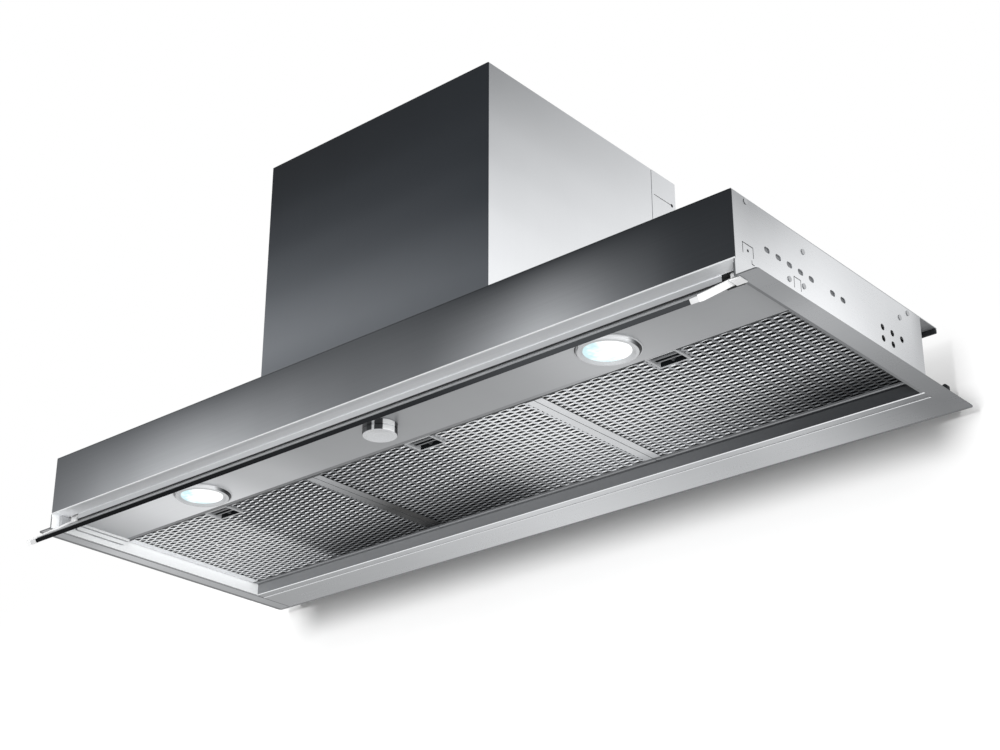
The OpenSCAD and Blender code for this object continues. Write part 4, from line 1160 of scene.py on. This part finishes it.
@dataclass
class Studio:
    """Camera, plain light, a pale floor and a pale wall behind the hood that takes its soft shadow."""

    focal: float = 68.19
    sensor: float = 36.0
    camera_place: tuple[float, float, float] = (1.1373, -1.1019, -0.6907)
    pitch: float = 0.4362
    yaw: float = 0.7106
    room_light: float = 0.62
    wall_y: float = 0.36
    wall_top: float = 0.13
    wall_size: tuple[float, float] = (12.0, 4.0)
    wall_white: float = 0.62
    wall_glow: Stops = ((0, 0), (12, 0), (30, 0.5), (60, 0.66), (80, 0.87), (100, 0.97), (125, 1))
    floor_z: float = -1.9
    floor_size: tuple[float, float] = (14.0, 14.0)
    floor_white: float = 0.9
    floor_glow: Stops = ((0, 0.75), (1, 0.75))
    sun_turn: float = -0.3

    def build(self) -> None:
        """Sets up everything round the hood."""
        self.camera()
        self.world()
        wall = self.plane("studio_wall", (0, self.wall_y, self.wall_top - self.wall_size[1] / 2),
                          (math.pi / 2, 0, 0), self.wall_size)
        wall.data.materials.append(self.backdrop("wall_white", self.wall_white, self.wall_glow))
        floor = self.plane("studio_floor", (0, 0, self.floor_z), (0, 0, 0), self.floor_size)
        floor.data.materials.append(self.backdrop("floor_white", self.floor_white, self.floor_glow))
        self.lamps(wall)
        log.info("studio ready")

    def camera(self) -> None:
        """Sets the photograph's camera."""
        data = bpy.data.cameras.new("camera")
        data.lens = self.focal
        data.sensor_width = self.sensor
        camera = bpy.data.objects.new("camera", data)
        camera.location = self.camera_place
        camera.rotation_euler = (math.pi / 2 + self.pitch, 0.0, self.yaw)
        bpy.context.scene.collection.objects.link(camera)
        bpy.context.scene.camera = camera

    def world(self) -> None:
        """Makes an even white surrounding that also lights the hood."""
        world = bpy.data.worlds.new("white_room")
        world.use_nodes = True
        bpy.context.scene.world = world
        nodes = Nodes(world.node_tree)
        path = nodes.add("ShaderNodeLightPath").outputs
        mirrored = nodes.math("MAXIMUM", path["Is Glossy Ray"], path["Is Transmission Ray"])
        seen = nodes.math("MAXIMUM", path["Is Camera Ray"], mirrored)
        back = world.node_tree.nodes["Background"]
        nodes.feed(back.inputs["Color"], WHITE)
        nodes.feed(back.inputs["Strength"], nodes.rescale(seen, 0.0, 1.0, self.room_light, 1.0))

    def lamps(self, wall: Piece) -> None:
        """Hangs the hood's soft lamps, and the wall's own ones, low in front so the shadow stays short."""
        hood = [self.lamp("key", (-1.6, -2.2, 1.7), (0, 0.1, 0.1), (1.6, 1.6), 34),
                self.lamp("fill", (2.4, -0.6, 0.6), (0, 0.1, 0.05), (1.2, 1.6), 14),
                self.lamp("under", (2.0, -2.0, -1.1), (0, 0.1, 0.03), (1.1, 1.1), 70)]
        washes = [self.sun("wall_sun_low", -1.2, 6.4, 3.06),
                  self.sun("wall_sun_high", 5.0, 14.0, 1.08)]
        for name, lamps, state in (("not_wall", hood, "EXCLUDE"), ("only_wall", washes, "INCLUDE")):
            group = bpy.data.collections.new(name)
            group.objects.link(wall)
            group.collection_objects[0].light_linking.link_state = state
            for lamp in lamps:
                lamp.light_linking.receiver_collection = group

    def lamp(self, name: str, place: Sequence[float], target: Sequence[float], size: tuple[float, float],
             power: float) -> Piece:
        """Hangs one soft lamp.

        Args:
            name: Its name.
            place: Where it hangs.
            target: What it points at.
            size: Its width and height in metres.
            power: Its power in watts.

        Returns:
            The lamp.
        """
        lamp = self.light(name, "AREA", power)
        lamp.data.shape = "RECTANGLE"
        lamp.data.size, lamp.data.size_y = size
        lamp.location = place
        lamp.rotation_euler = (Vector(target) - Vector(place)).to_track_quat("-Z", "Y").to_euler()
        return lamp

    def sun(self, name: str, rise: float, spread: float, strength: float) -> Piece:
        """Sets a far light in front of the wall.

        Args:
            name: Its name.
            rise: Its height over the horizon in degrees.
            spread: Its apparent size in degrees.
            strength: Its strength.

        Returns:
            The light.
        """
        sun = self.light(name, "SUN", strength)
        sun.data.angle = math.radians(spread)
        sun.rotation_euler = (math.pi / 2 - math.radians(rise), 0.0, math.radians(self.sun_turn))
        return sun

    def light(self, name: str, kind: str, power: float) -> Piece:
        """Adds a light that no polished face mirrors."""
        light = bpy.data.objects.new(name, bpy.data.lights.new(name, kind))
        light.data.energy = power
        light.visible_glossy = False
        bpy.context.scene.collection.objects.link(light)
        return light

    def plane(self, name: str, place: Sequence[float], turn: Sequence[float],
              size: tuple[float, float]) -> Piece:
        """Makes a flat sheet of the studio."""
        deselect_all()
        bpy.ops.mesh.primitive_plane_add(size=1, location=place, rotation=turn)
        bpy.context.object.scale = (*size, 1)
        return adopt(name)

    def backdrop(self, name: str, level: float, glow: Stops) -> Material:
        """Makes a pale material that only the camera sees, from its front, and that takes shadows.

        Args:
            name: The material's name.
            level: Its reflectance.
            glow: Heights in millimetres, each with the share of its white that needs no light.

        Returns:
            The material.
        """
        material = bpy.data.materials.new(name)
        material.use_nodes = True
        material.node_tree.nodes.clear()
        nodes = Nodes(material.node_tree)
        place = nodes.add("ShaderNodeTexCoord").outputs["Object"]
        height = nodes.add("ShaderNodeSeparateXYZ", {0: place}).outputs["Z"]
        share = nodes.ramp(height, glow, lambda value: (value, value, value, 1.0), smooth=False)
        diffuse = nodes.add("ShaderNodeBsdfDiffuse", {"Color": (level, level, level, 1.0)}).outputs[0]
        emission = nodes.add("ShaderNodeEmission").outputs[0]
        sheet = nodes.add("ShaderNodeMixShader", {0: share, 1: diffuse, 2: emission}).outputs[0]
        camera_ray = nodes.add("ShaderNodeLightPath").outputs["Is Camera Ray"]
        behind = nodes.add("ShaderNodeNewGeometry").outputs["Backfacing"]
        clear = nodes.add("ShaderNodeBsdfTransparent").outputs[0]
        seen = nodes.math("SUBTRACT", camera_ray, behind, clamp=True)
        mix = nodes.add("ShaderNodeMixShader", {0: seen, 1: clear, 2: sheet}).outputs[0]
        nodes.add("ShaderNodeOutputMaterial", {"Surface": mix})
        return material


def main() -> None:
    """Builds the hood's finishes and pieces in order, then the studio round it."""
    logging.basicConfig(level=logging.INFO, format="%(message)s")
    bpy.context.scene.view_settings.view_transform = "Standard"
    Studio().build()
    finishes = Finishes()
    finishes.build()
    SheetBody(finishes).build()
    MotorBox(finishes).build()
    for side, x in (("left", -LAMP_X), ("right", LAMP_X)):
        Lamp(finishes, side, x).build()
    Knob(finishes).build()
    for side in SIDES:
        FilterCassette(finishes, side).build()
    Visor(finishes).build()
    deselect_all()


if __name__ == "__main__":
    main()
